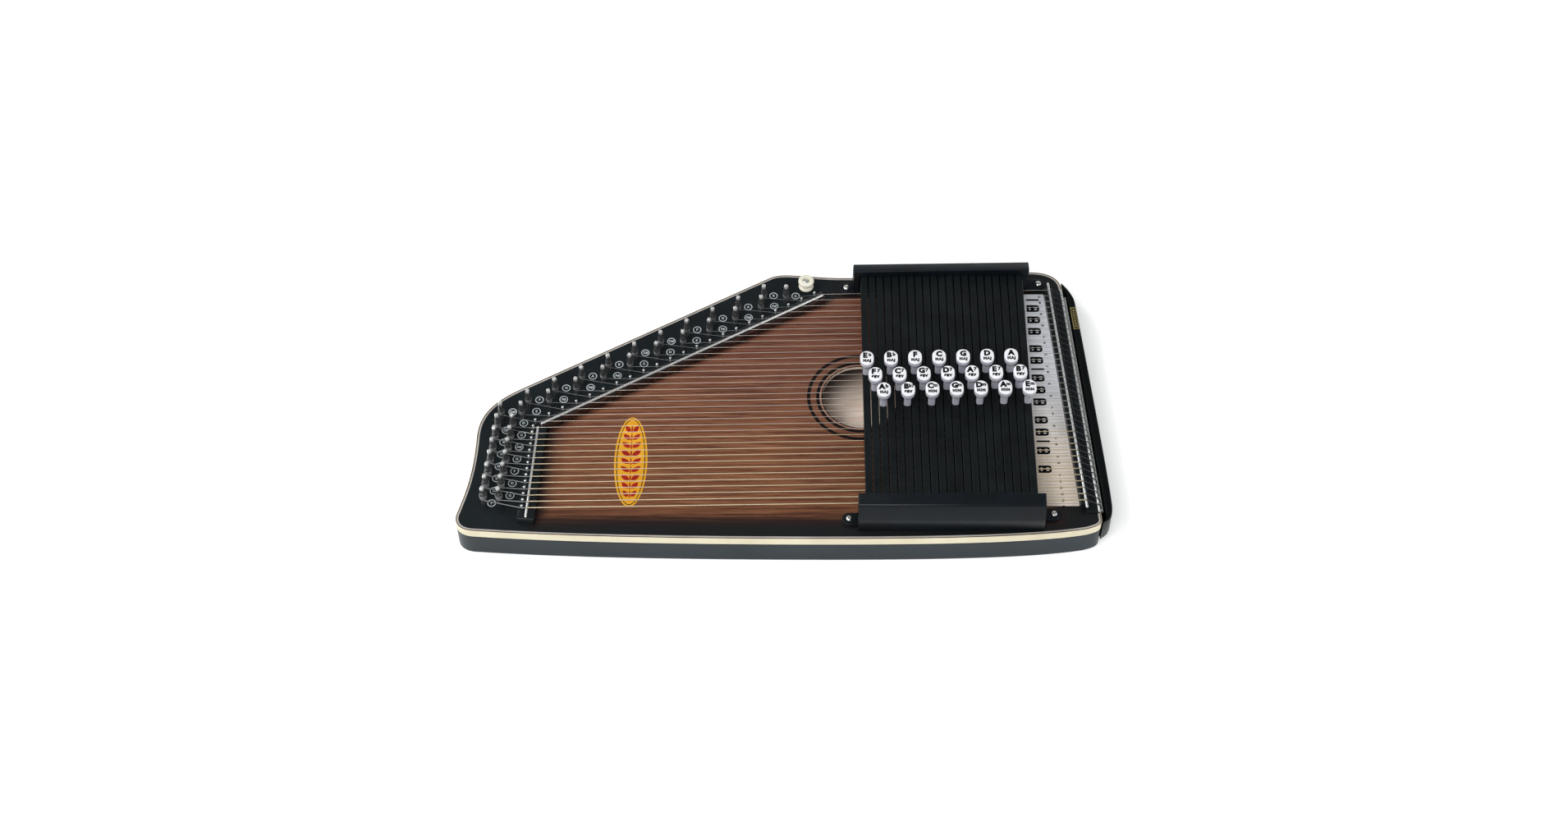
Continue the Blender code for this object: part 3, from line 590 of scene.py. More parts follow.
def plain_wire():
    look = Look("steel_wire", metallic=1.0)
    patches = look.noise([1.0 / 60.0] * 3)
    bright = look.mix(patches, (206, 198, 186), (228, 222, 212))
    return look.finish(darkened_ends(look, bright, SLANTED_NUT, (-0.502, 0.865)), patches, (0.34, 0.42))


def pin_metal():
    """Blued steel shafts with square heads, whose tops are painted near-white as a painted highlight."""
    look = Look("pin_metal", metallic=0.7)
    wear = look.noise((0.7, 0.7, 0.7), 3.0)
    level = look.node("SeparateXYZ", {0: look.place()}, "Z")
    height = look.maths("ADD", level, look.maths("MULTIPLY", wear, 1.4))
    # Painted highlight: the top of each head is painted near-white to stand in for the lamps' glint, and the
    # wear noise makes its lower edge uneven.
    head = look.spread(height, TOP + PIN_TOP - 3.2, TOP + PIN_TOP - 1.0, smooth=True)
    colour = look.mix(head, look.mix(wear, (66, 67, 70), (124, 125, 126)), (246, 246, 243))
    return look.finish(colour, wear, (0.18, 0.34))


# A point on each dark edge, the way it faces, and how far from it the wood is still black and is clear.
SHADED_EDGES = [
    (LEFT_NUT[0], (1.0, -0.055), -5.0, 32.0),
    (SLANTED_NUT[0], (0.502, -0.865), -0.5, 8.5),
    ((50.0, 137.2), (0.03, -1.0), 19.0, 30.0),
    ((40.0, -143.6), (0.0, 1.0), 7.0, 38.0),
    ((266.2, -124.0), (-1.0, -0.07), 24.0, 60.0),
]


def grained_top():
    """Stained wood with its grain along X, shaded to black towards the pins and the edges."""
    look = Look("sunburst_top", specular=0.35)
    streaks = look.noise((0.012, 0.42, 0.42), 5.0, 0.62)
    pores = look.noise((0.05, 1.9, 1.9), 3.0, 0.6)
    clouds = look.noise((0.010, 0.016, 0.016), 2.0)
    grain = look.maths("ADD", look.maths("MULTIPLY", streaks, 0.62), look.maths("MULTIPLY", pores, 0.38))
    warm = look.mix(look.spread(grain, 0.38, 0.62), (80, 44, 29), (150, 100, 68))
    red = look.mix(look.spread(grain, 0.38, 0.62), (72, 41, 31), (140, 92, 70))
    side = look.maths("ADD", look.beyond((0.0, -20.0), (0.0, 1.0)), look.maths("MULTIPLY", clouds, 120.0))
    wood = look.mix(look.spread(side, 0.0, 130.0, smooth=True), warm, red)
    wood = look.mix(look.spread(clouds, 0.35, 0.7, 0.0, 0.3), wood, (92, 54, 40))
    ragged = look.maths("MULTIPLY", look.maths("SUBTRACT", streaks, 0.5), 8.0)
    shade = 0.0
    for point, facing, black, clear in SHADED_EDGES:
        distance = look.maths("ADD", look.beyond(point, facing), ragged)
        shade = look.maths("MAXIMUM", shade, look.spread(distance, black, clear, 1.0, 0.0, smooth=True))
    stained = look.mix(look.spread(shade, 0.0, 0.8), wood, (46, 20, 15))
    colour = look.mix(look.spread(shade, 0.35, 1.0), stained, (16, 18, 19))
    return look.finish(colour, pores, (0.24, 0.36), grain, 0.05, 0.6)


BLACK = surface("black_lacquer", (16, 21, 23), (26, 32, 35), 60.0, (0.22, 0.32), 0.01, specular=0.2)
# The sides are the same black lacquer as the top; their paler blue-grey is a painted reflection of the pale
# floor and room.
SIDE_PAINTED_REFLECTION = surface("side_lacquer", (26, 35, 41), (36, 46, 53), 90.0, (0.3, 0.4), 0.01, specular=0.2)
SUNBURST = grained_top()
PALE_WOOD = bare_wood("pale_inside_wood", (226, 200, 178), (252, 236, 220))
# Plain pale wood with a painted shadow towards the far left side of the sound hole.
INSIDE_PANEL = bare_wood("inside_panel_wood", (236, 208, 188), (255, 242, 230), True)
RING_WOOD = bare_wood("ring_veneer", (132, 92, 74), (170, 130, 108))
TOP_PLY = surface("top_ply", (156, 150, 144), (184, 178, 172), 30.0, (0.3, 0.42))
EDGE_PLY = surface("edge_ply", (58, 48, 40), (84, 72, 60), 30.0, (0.35, 0.45), specular=0.2)
BINDING = surface("binding_plastic", (214, 204, 174), (228, 220, 192), 30.0, (0.28, 0.4), subsurface=0.1)
INK = surface("ink", (9, 9, 10), (18, 18, 19), 6.0, (0.45, 0.6), specular=0.1)
STEEL_WIRE = plain_wire()
BRONZE_WIRE = wound_wire()
ROD_STEEL = surface("rod_steel", (206, 208, 210), (234, 234, 232), 5.0, (0.2, 0.32), 0.01, metallic=0.7)
PIN_STEEL = pin_metal()
HOLDER = surface("holder_plastic", (11, 16, 20), (18, 25, 31), 40.0, (0.26, 0.34), specular=0.2)
BAR = surface("bar_lacquer", (11, 15, 16), (20, 25, 27), 22.0, (0.34, 0.5), 0.02, specular=0.15)
FELT = surface("felt", (196, 192, 178), (228, 224, 210), 1.2, (0.85, 0.98), 0.25, sheen=0.4)
# The buttons are white plastic; this lavender grey on their posts and sides is painted shade, and only the
# top keeps the white face colour.
BUTTON_PAINTED_SHADE = surface("button_plastic", (184, 184, 196), (204, 204, 214), 8.0, (0.3, 0.42), subsurface=0.15)
BUTTON_FACE = surface("button_face", (232, 232, 236), (244, 244, 248), 8.0, (0.3, 0.42))
SPRING_STEEL = surface("spring_steel", (170, 170, 168), (220, 218, 212), 3.0, (0.2, 0.35), metallic=1.0)
SCREW_STEEL = surface("screw_steel", (206, 206, 202), (240, 240, 236), 3.0, (0.16, 0.3), 0.01, metallic=1.0)
COVER = surface("cover_plastic", (6, 9, 10), (12, 16, 17), 40.0, (0.24, 0.34), 0.01, specular=0.1)
STRAP = surface("strap_plastic", (224, 220, 200), (242, 239, 224), 9.0, (0.3, 0.42))
PAPER = chart_paper()
DECAL_YELLOW = surface("decal_yellow", (216, 150, 30), (232, 170, 48), 20.0, (0.35, 0.45), specular=0.2)
DECAL_RED = surface("decal_red", (148, 26, 20), (172, 38, 28), 10.0, (0.35, 0.45), specular=0.2)
RING_SILVER = surface("ring_silver", (176, 184, 188), (208, 214, 216), 6.0, (0.3, 0.42))
GOLD = surface("label_gold", (138, 124, 76), (172, 156, 104), 6.0, (0.3, 0.42), metallic=0.4)
LABEL_DARK = surface("label_dark", (54, 48, 30), (68, 62, 40), 6.0, (0.35, 0.45), specular=0.2)


# ---------------- strings, as lines and paths

def between(ends, share):
    """A value part of the way between two."""
    return ends[0] + (ends[1] - ends[0]) * share


def string_line(number):
    """Right end and slope of a string, numbered 1 at the bass side."""
    share = (number - 1) / (STRING_COUNT - 1)
    right = [between(ends, share) for ends in zip(BASS_STRING_RIGHT, TREBLE_STRING_RIGHT)]
    return right, between(STRING_SLOPES, share)


def string_y(number, x):
    right, slope = string_line(number)
    return right[1] + slope * (x - right[0])


def cross(line, number):
    """Where a string crosses a line given by two points."""
    (x0, y0), (x1, y1) = line
    right, slope = string_line(number)
    lean = (x1 - x0) / (y1 - y0)
    y = (right[1] + slope * (x0 - lean * y0 - right[0])) / (1.0 - slope * lean)
    return (x0 + lean * (y - y0), y)


def string_radius(number):
    if number <= WOUND_COUNT:
        return between(WOUND_RADII, (number - 1) / (WOUND_COUNT - 1))
    return between(PLAIN_RADII, (number - WOUND_COUNT - 1) / (STRING_COUNT - WOUND_COUNT - 1))


def tuning_pins():
    """(pin, string number, place of its decal) for every tuning pin."""
    found = []
    for (x, y), (step_x, step_y), count, number, (ring_x, ring_y) in PIN_ROWS:
        for k in range(count):
            pin = (x + step_x * k, y + step_y * k)
            found.append((pin, number - 2 * k, (pin[0] + ring_x, pin[1] + ring_y)))
    return found


def guide_place(number):
    """Where a string bends towards its pin, just left of its nut rod, and where it crosses the rod."""
    line = LEFT_NUT if number <= LEFT_STRING_COUNT else SLANTED_NUT
    nut = Vector(cross(line, number))
    x = nut.x - GUIDE_OFFSET / abs(ways(line)[0].y)
    return Vector((x, string_y(number, x))), nut


def string_path(pin, number):
    """A string from its coil on the tuning pin, over the nut, bridge and edge rod, to its end."""
    radius = string_radius(number)
    guide, nut = guide_place(number)
    leave = guide - Vector(pin)
    turn = atan2(-leave.x, leave.y)
    pitch = max(2.1 * radius, 0.8)
    steps = COIL_TURNS * COIL_STEPS
    path = []
    for k in range(steps, -1, -1):
        angle = turn - 2.0 * pi * k / COIL_STEPS
        across = Vector(pin) + Vector((cos(angle), sin(angle))) * (PIN_RADIUS + radius)
        path.append((*across, COIL_HEIGHT + pitch * k / COIL_STEPS))
    above = ROD_TOP + radius
    rise = (across - guide).length / (across - nut).length
    path.append((*guide, COIL_HEIGHT + (above - COIL_HEIGHT) * rise))
    bridge = Vector(cross(BRIDGE, number))
    for place, shift, dip in ((nut, -0.4, 0.05), (nut, 0.0, 0.0), (bridge, 0.0, 0.0), (bridge, 0.4, 0.05)):
        path.append((place.x + shift, place.y, above - dip))
    edge = Vector(cross(EDGE_ROD, number))
    outward = ways(EDGE_ROD)[1]
    wrap = ROD_RADIUS + radius
    for degrees in (80.0, 60.0, 40.0, 20.0, 0.0):
        out, up = wrap * cos(radians(degrees)), wrap * sin(radians(degrees))
        path.append((*(edge + outward * out), EDGE_ROD_TOP - ROD_RADIUS + up))
    path.append((*(edge + outward * ANCHOR_OFFSET), ANCHOR_TOP - 1.0))
    return path


# ---------------- body

def seam_x(y):
    for (x0, y0), (x1, y1) in zip(SEAM, SEAM[1:]):
        if y <= y1:
            return between((x0, x1), (y - y0) / (y1 - y0))
    return SEAM[-1][0]


def split_at_seam(loop):
    """The parts of a loop left and right of the seam between pin block and soundboard."""
    sides = [x - seam_x(y) for x, y in loop]
    crossings = []
    for k, point in enumerate(loop):
        after = (k + 1) % len(loop)
        if (sides[k] < 0.0) != (sides[after] < 0.0):
            share = sides[k] / (sides[k] - sides[after])
            crossings.append((k, tuple(between(ends, share) for ends in zip(point, loop[after]))))
    (bass, low), (treble, high) = crossings
    left = [high, *loop[treble + 1:], *loop[:bass + 1], low, *SEAM[1:3]]
    return left, [low, *loop[bass + 1:treble + 1], high, *SEAM[2:0:-1]]


def make_body():
    outline = body_outline()
    floor = GROUND + PLATE
    step = -BINDING_HEIGHT
    levels = [
        (0.0, floor), (0.0, step - GROOVE), (0.5 * GROOVE, step - GROOVE), (0.5 * GROOVE, step),
        (BINDING_WIDTH, step), (BINDING_WIDTH, -PLATE),
    ]
    wall = Shape().slab([outline, hole(CAVITY)], levels, hole_look=1)
    make("side_walls", wall, [SIDE_PAINTED_REFLECTION, PALE_WOOD], "body_lacquer", "inner_frame")

    back = plate([outline], GROUND, floor, below=1.6, steps=4)
    make("back_plate", back, SIDE_PAINTED_REFLECTION, "body_lacquer", "back_panel")
    make("inside_back", plate([CAVITY], floor, floor + 0.3), INSIDE_PANEL, "top_wood")
    braces = Shape()
    for x, low, high in BRACES:
        flat = rectangle(x - BRACE_HALF, low, x + BRACE_HALF, high)
        braces.slab([flat], rounded(-PLATE - BRACE_HEIGHT, -PLATE, below=2.0))
    make("braces", braces, PALE_WOOD, "top_wood")

    inner = inset(outline, BINDING_WIDTH)
    levels = [(0.0, -BINDING_HEIGHT), (0.0, -0.4), (0.12, -0.12), (0.4, 0.0), (1.25, 0.0)]
    binding = Shape().slab([outline, hole(inner)], levels, hole_look=1, level_looks=(0, 0, 0, 2), cap_look=1)
    make("binding_strip", binding, [BINDING, TOP_PLY, EDGE_PLY], "cream_binding", "binding")

    left, right = split_at_seam(inner)
    make("pin_table", plate([left], -PLATE, 0.0), BLACK, "body_lacquer", "pin_block")
    round_hole = hole(ellipse(HOLE, (HOLE_RADIUS, HOLE_RADIUS)))
    board = plate([right, round_hole], -PLATE, 0.0, hole_look=1)
    make("top_board", board, [SUNBURST, PALE_WOOD], "top_wood", "soundboard")
    line = plate([inner, hole(inset(outline, PURFLING_INSET))], -0.2, FLAT)
    make("purfling_line", line, TOP_PLY, "cream_binding")


def flat_ring(shape, centre, outer, inner, bottom=-0.2, sides=96):
    loops = [ellipse(centre, (outer, outer), sides), hole(ellipse(centre, (inner, inner), sides))]
    return shape.slab(loops, rounded(bottom, FLAT))


def make_rosette():
    dark = Shape()
    for outer, inner in ROSETTE:
        flat_ring(dark, HOLE, outer, inner)
    make("rosette_rings", dark, INK, "body_lacquer")
    veneer = flat_ring(Shape(), HOLE, ROSETTE[1][1], ROSETTE[0][0])
    make("rosette_veneer", veneer, RING_WOOD, "top_wood")


def make_decal():
    """A plain oval with a border line and a row of leaves."""
    base = plate([ellipse(DECAL, DECAL_HALF)], -0.1, 0.08)
    make("oval_decal", base, DECAL_YELLOW, "decal_yellow")
    outer, inner = [ellipse(DECAL, [half - edge for half in DECAL_HALF]) for edge in (1.8, 2.6)]
    border = plate([outer, hole(inner)], 0.0, 0.12)
    make("oval_border", border, INK, "decal_yellow")
    leaves = Shape()
    spacing = 8.4
    for k in range(-4, 5):
        y = DECAL[1] + spacing * k
        width = 8.4 * sqrt(1.0 - (spacing * k / DECAL_HALF[1]) ** 2)
        for side in (-1.0, 1.0):
            x, reach = DECAL[0] + side * 0.9, DECAL[0] + side * width
            foot, tip = (x, y - 2.2), (reach, y + 3.8)
            low = bezier_run(foot, (x + side * 3.0, y - 3.4), (reach, y - 1.4), tip, 6)
            high = bezier_run(tip, (reach - side * 2.6, y + 3.6), (x, y + 2.4), foot, 6)
            leaves.slab([low + high if side > 0.0 else hole(low + high)], rounded(0.0, 0.13))
        leaves.slab([ellipse((DECAL[0], y), (0.7, 3.8), 16)], rounded(0.0, 0.13))
    make("oval_leaves", leaves, DECAL_RED, "decal_yellow")


# ---------------- nuts, bridge, pins, strings and chart

def rod_shape(line, top):
    """A steel rod with domed ends."""
    start, end = [Vector((*point, top - ROD_RADIUS)) for point in line]
    way = (end - start).normalized()
    side = Vector((way.y, -way.x, 0.0))
    steps = 4
    rings = []
    for centre, sign, order in ((start, -1.0, range(steps)), (end, 1.0, reversed(range(steps)))):
        for k in order:
            angle = radians(80.0) * (steps - 1 - k) / (steps - 1)
            middle = centre + way * (sign * ROD_RADIUS * (sin(angle) - 1.0))
            radius = ROD_RADIUS * cos(angle)
            rings.append([middle + (side * x + Vector((0, 0, 1)) * y) * radius for x, y in circle(20)])
    return Shape().loft(rings)


def make_strip(name, line, sides, extra, corner, lift, look, node):
    outline = soften(strip_outline(line, *sides, extra), [corner] * 4)
    strip = plate([outline], 0.0, STRIP_TOP + lift, above=1.1)
    make(name + "_strip", strip, look, "body_lacquer", node)


def make_rod(name, line, top=ROD_TOP):
    make(name + "_rod", rod_shape(line, top), ROD_STEEL, "rod_steel")


def make_supports():
    make_strip("left_nut", LEFT_NUT, LEFT_NUT_SIDES, 1.0, 1.2, 0.0, BLACK, None)
    make_rod("left_nut", LEFT_NUT)
    make_strip("slanted_nut", SLANTED_NUT, SLANTED_NUT_SIDES, 1.0, 1.2, -0.05, SUNBURST, "nut")
    make_rod("slanted_nut", SLANTED_NUT)
    make_strip("bridge", BRIDGE, BRIDGE_SIDES, -4.8, 1.0, 0.0, BLACK, "bridge")
    flat = plate([[BRIDGE[0], *EDGE_ROD, BRIDGE[1]]], 0.0, BRIDGE_PLATE_TOP, above=0.4)
    make("bridge_plate", flat, BLACK, "body_lacquer")
    make_rod("bridge", BRIDGE)
    make_rod("edge", EDGE_ROD, EDGE_ROD_TOP)
    anchor = strip_outline(EDGE_ROD, ANCHOR_OFFSET - 1.1, ANCHOR_OFFSET + 1.1, -4.0)
    bar = plate([anchor], ANCHOR_TOP - 3.0, ANCHOR_TOP, above=0.4, below=0.4)
    make("string_anchor_bar", bar, ROD_STEEL, "rod_steel", "strings")


def square_reach(way, half):
    """How far the sides of a rectangle are from its centre in a direction."""
    return min(h / max(abs(part), 1e-6) for h, part in zip(half, way))


def pin_shape(centre, turn):
    """A tuning pin: a round shaft with a tapered square head."""
    levels = [
        (PIN_RADIUS, False, -1.0), (PIN_RADIUS, False, 13.6), (2.3, False, 14.0), (2.15, True, 15.6),
        (1.85, True, 21.0), (1.65, True, PIN_TOP - 0.3), (1.3, True, PIN_TOP),
    ]
    rings = []
    for reach, square, height in levels:
        outs = [reach] * 24
        if square:
            outs = [min(1.08 * reach, 0.84 * square_reach(way, (reach, reach))) for way in circle(24)]
        rings.append([(*(Vector(centre) + way * out), height) for way, out in zip(circle(24, turn), outs)])
    return Shape().loft(rings)


def make_pins():
    chance = random.Random(36)
    pins, rings, letters, guides = Shape(), Shape(), Shape(), Shape()
    head = STRIP_TOP + 4.4
    profile = [
        (0.0, STRIP_TOP - 1.0), (0.7, STRIP_TOP - 1.0), (0.7, head - 0.6), (1.05, head - 0.5),
        (1.05, head - 0.2), (0.6, head), (0.0, head),
    ]
    for pin, number, ring in tuning_pins():
        pins.join(pin_shape(pin, chance.uniform(0.0, pi)), Matrix.Identity(4))
        flat_ring(rings, ring, *NOTE_RING, 0.0, 32)
        letters.lettering(TUNING[number - 1], 3.3, ring, 0.0, 0.13)
        guide = guide_place(number)[0]
        bend = (guide - Vector(pin)).cross(Vector((1.0, STRING_SLOPES[0])))
        guides.lathe(profile, (guide.x, guide.y + copysign(string_radius(number) + 0.7, bend)), 12)
    make("tuning_pins", pins, PIN_STEEL, "pin_steel")
    make("note_rings", rings, RING_SILVER, "pin_steel")
    make("note_letters", letters, RING_SILVER, "pin_steel")
    make("guide_pins", guides, ROD_STEEL, "rod_steel")
    for pin, number, ring in tuning_pins():
        wire = Shape().tube(string_path(pin, number), string_radius(number))
        look, slot = (BRONZE_WIRE, "string_bronze") if number <= WOUND_COUNT else (STEEL_WIRE, "string_steel")
        make("string_%02d" % number, wire, look, slot, crease=60.0)


def make_chart():
    """A card with a keyboard pattern, a line between each two strings, and the notes' letters."""
    low, high = CHART_RIGHT
    outline = [(CHART_LEFT, low[1]), low, high, (CHART_LEFT, high[1])]
    make("chart_card", plate([outline], 0.0, CHART_TOP), PAPER, "chart_paper")
    ink = rounded(CHART_TOP - 0.1, CHART_TOP + FLAT)
    keys, lines, letters = Shape(), Shape(), Shape()
    for number, note in enumerate(TUNING, 1):
        y = string_y(number, CHART_MIDDLE)
        middle = 0.5 * (y + string_y(number + 1, CHART_MIDDLE))
        if "#" in note:
            for x0, x1, corner in KEY_BOXES:
                outer = soften(rectangle(x0, y - 3.9, x1, y + 3.9), [1.2, corner, corner, 1.2])
                inner = soften(rectangle(x0 + 1.9, y - 1.7, x1 - 2.0, y + 1.7), [0.7] * 4)
                keys.slab([outer, hole(inner)], ink)
            keys.slab([rectangle(217.0, y - 0.6, 226.0, y + 0.6)], ink)
        else:
            letter_x = 231.4 - 0.03 * y
            letters.lettering(note, 3.2, (letter_x, string_y(number, letter_x)), CHART_TOP, 0.16)
        if note == "B":
            keys.slab([rectangle(216.0, middle - 0.9, 227.4, middle + 0.9)], ink)
        if number < STRING_COUNT:
            end = between((low[0], high[0]), (middle - low[1]) / (high[1] - low[1]))
            loop = rectangle(CHART_LEFT + 0.5, middle - 0.09, end - 1.0, middle + 0.09)
            lines.slab([[(px, py + STRING_SLOPES[0] * (px - CHART_MIDDLE)) for px, py in loop]], ink)
    for name, shape in (("chart_keys", keys), ("chart_lines", lines), ("chart_letters", letters)):
        make(name, shape, INK, "button_ink")


# ---------------- bar holders

def far_edge(x):
    return FAR_EDGE + FAR_SLOPE * (x - HOLDER_ENDS[0])


def holder_matrix(x, far):
    """Turn an (outward, up) profile with its thickness along Z so that it stands at x."""
    side = 1.0 if far else -1.0
    edge = far_edge(x) if far else NEAR_EDGE
    lean = FAR_SLOPE if far else 0.0
    return Matrix(((0, 0, side, x), (side, 0, lean, edge), (0, 1, 0, 0), (0, 0, 0, 1)))


def screw_head(radius, height):
    """A domed head with a cross recess, standing on height 0."""
    profile = [(0.0, 0.0), (radius, 0.0), (radius, 0.3 * height)]
    for k in range(1, 6):
        angle = 0.5 * pi * k / 6
        profile.append((radius * cos(angle), 0.3 * height + 0.7 * height * sin(angle)))
    dome = Shape().lathe(profile + [(0.0, height)], (0.0, 0.0), 28)
    cross_cut = Shape()
    for x, y in ((0.62 * radius, 0.15 * radius), (0.15 * radius, 0.62 * radius)):
        cross_cut.slab([rectangle(-x, -y, x, y)], [(0.08 * radius, 0.35 * height), (0.0, 1.3 * height)])
    cutter = add_object("cross", mesh_of("cross", cross_cut.points, cross_cut.faces))
    head = bpy.data.objects.new("head", mesh_of("head", dome.points, dome.faces))
    cut = head.modifiers.new("cross", "BOOLEAN")
    cut.operation = "DIFFERENCE"
    cut.solver = "EXACT"
    cut.use_self = True
    cut.object = cutter
    shape = Shape().take(head, Matrix.Identity(4))
    bpy.data.objects.remove(cutter)
    shape.smooth = [True] * len(shape.faces)
    return shape


def make_holder(name, far, ears, node):
    start, stop = HOLDER_ENDS
    half = 0.5 * (stop - start)
    outer = soften(HOLDER_OUTER, HOLDER_CORNERS)
    profile = plate([outer + HOLDER_INNER], -half, half, above=0.5, below=0.5, steps=2)
    shell = Shape().join(profile, holder_matrix(0.5 * (start + stop), far))
    recess = 0.4
    wall = 4.9
    end = plate([inset(HOLDER_OUTER, 0.6)], -0.5 * wall, 0.5 * wall)
    for x in (start + recess + 0.5 * wall, stop - recess - 0.5 * wall):
        shell.join(end, holder_matrix(x, far))
    for (x, y), edge, sign in zip(ears, HOLDER_ENDS, (-1.0, 1.0)):
        reach = sign * EAR_RADIUS
        turns = [pi * (j / 12 - 0.5) for j in range(13)]
        arc = [(x + reach * cos(a), y + reach * sin(a)) for a in turns]
        tail = [(edge - sign * 2.0, y + reach), (edge - sign * 2.0, y - reach)]
        shell.slab([arc + tail], rounded(0.0, EAR_TOP, above=0.8))
    make(name + "_holder", shell, HOLDER, "holder_plastic", node)
    comb = Shape()
    rib = plate([RIB], -0.5 * RIB_WIDTH, 0.5 * RIB_WIDTH)
    for bar in BARS:
        comb.join(rib, holder_matrix(bar.x, far))
    make(name + "_comb", comb, HOLDER, "holder_plastic")


def make_screws():
    head = screw_head(*SCREW_HEAD)
    for side, places in (("near", NEAR_EARS), ("far", FAR_EARS)):
        for end, (x, y), turn in zip(("left", "right"), places, (0.3, 1.1)):
            shape = Shape().join(head, Matrix.Translation((x, y, EAR_TOP)) @ Matrix.Rotation(turn, 4, "Z"))
            shape.tube([(x, y, -SCREW_LENGTH), (x, y, EAR_TOP)], SCREW_RADIUS, 16)
            place = "screw_%s_%s" % (side, end)
            make(place, shape, SCREW_STEEL, "screw_steel", "holder_" + place)


# ---------------- chord bars

def chord_bars():
    """Place, chord and names of every chord bar, read from the CAD model."""
    found = []
    for node in sorted(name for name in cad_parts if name.startswith("chord_bar_")):
        chord = node.removeprefix("chord_bar_")
        number, root, kind = chord.split("_")
        low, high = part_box(node)
        button_low, button_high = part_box("button_" + chord)
        found.append(SimpleNamespace(
            number=number, root=root, kind=kind,
            node=node, button_node="button_" + chord, body="chord_" + chord,
            x=0.5 * (low.x + high.x) / MM, half=0.5 * (high.x - low.x) / MM, top=high.z / MM - TOP,
            button=tuple(0.5 * (a + b) / MM for a, b in zip(button_low[:2], button_high[:2])),
            button_top=button_high.z / MM - TOP,
        ))
    return found


def felt_shape(bar):
    """A felt strip seen from the side, cut away over the strings of its chord."""
    low = NEAR_EDGE + FELT_INSET
    high = far_edge(bar.x) - FELT_INSET
    root = PITCHES[bar.root[0]] - (bar.root[1:] == "b")
    notes = {(root + step) % 12 for step in CHORD_STEPS[bar.kind]}
    profile = [(high, FELT_TOP), (low, FELT_TOP), (low, FELT_BOTTOM)]
    here = low
    for number, name in enumerate(TUNING, 1):
        y = string_y(number, bar.x)
        start, end = y - FELT_CUT_HALF, y + FELT_CUT_HALF
        pitch = (PITCHES[name[0].lower()] + ("#" in name)) % 12
        if pitch in notes and start >= here + 0.3 and end <= high - 0.3:
            up = FELT_BOTTOM + FELT_CUT
            profile += [(start, FELT_BOTTOM), (start, up), (end, up), (end, FELT_BOTTOM)]
            here = end
    profile.append((high, FELT_BOTTOM))
    across = Matrix(((0, 0, 1, bar.x), (1, 0, 0, 0), (0, 1, 0, 0), (0, 0, 0, 1)))
    flat = plate([profile], -FELT_HALF, FELT_HALF, above=0.15, below=0.15, steps=1)
    return Shape().join(flat, across)


def button_shape(centre, base, top):
    """A post that widens into a face with round ends; each level has its half size and roundness."""
    levels = [
        (POST_HALF, base, 0.35), (POST_HALF, POST_TOP - 1.5, 0.35), ((3.3, 3.65), POST_TOP, 0.5),
        ((3.95, 4.75), POST_TOP + 1.9, 0.8), ((4.75, 5.95), POST_TOP + 3.7, 1.0),
        ((5.45, 6.95), FACE_BOTTOM - 1.0, 1.0), ((5.75, 7.35), FACE_BOTTOM, 1.0),
        (FACE_HALF, FACE_BOTTOM + 0.8, 1.0), (FACE_HALF, top - 1.0, 1.0), ((5.8, 7.4), top - 0.5, 1.0),
        ((5.55, 7.15), top - 0.15, 1.0), ((5.15, 6.75), top, 1.0),
    ]
    sides = 48
    rings = []
    for half, height, roundness in levels:
        ring = []
        for point, way in zip(stadium(centre, half, sides), circle(sides)):
            block = way * min(square_reach(way, half), 1.12 * max(half)) + Vector(centre)
            ring.append((*block.lerp(Vector(point), roundness), height))
        rings.append(ring)
    return Shape().loft(rings, len(rings) - 4)


def spring_path(x, y, top):
    """A coil whose first and last turns lie flat."""
    bottom = SPRING_STRIP_TOP + SPRING_WIRE
    steps = SPRING_TURNS * SPRING_STEPS
    path = []
    for k in range(steps + 1):
        angle = 2.0 * pi * k / SPRING_STEPS
        share = min(max((k - SPRING_STEPS) / (steps - 2 * SPRING_STEPS), 0.0), 1.0)
        flat = min(k, SPRING_STEPS) / SPRING_STEPS + max(k - steps + SPRING_STEPS, 0) / SPRING_STEPS
        height = bottom + 2.0 * SPRING_WIRE * flat + (top - bottom - 5.0 * SPRING_WIRE) * share
        path.append((x + SPRING_RADIUS * cos(angle), y + SPRING_RADIUS * sin(angle), height))
    return path


def bar_outline(bar):
    """A bar from above, with a notch in each end."""
    far = far_edge(bar.x)
    ends = [(NEAR_EDGE - BAR_END, NEAR_EDGE - NOTCH_END, 1.0), (far + BAR_END, far + NOTCH_END, -1.0)]
    points = []
    for end, notch, side in ends:
        steps = [(-bar.half, end), (-NOTCH_HALF, end), (-NOTCH_HALF, notch)]
        points += [(bar.x + side * x, y) for x, y in steps]
        points += [(bar.x - side * x, y) for x, y in reversed(steps)]
    return points


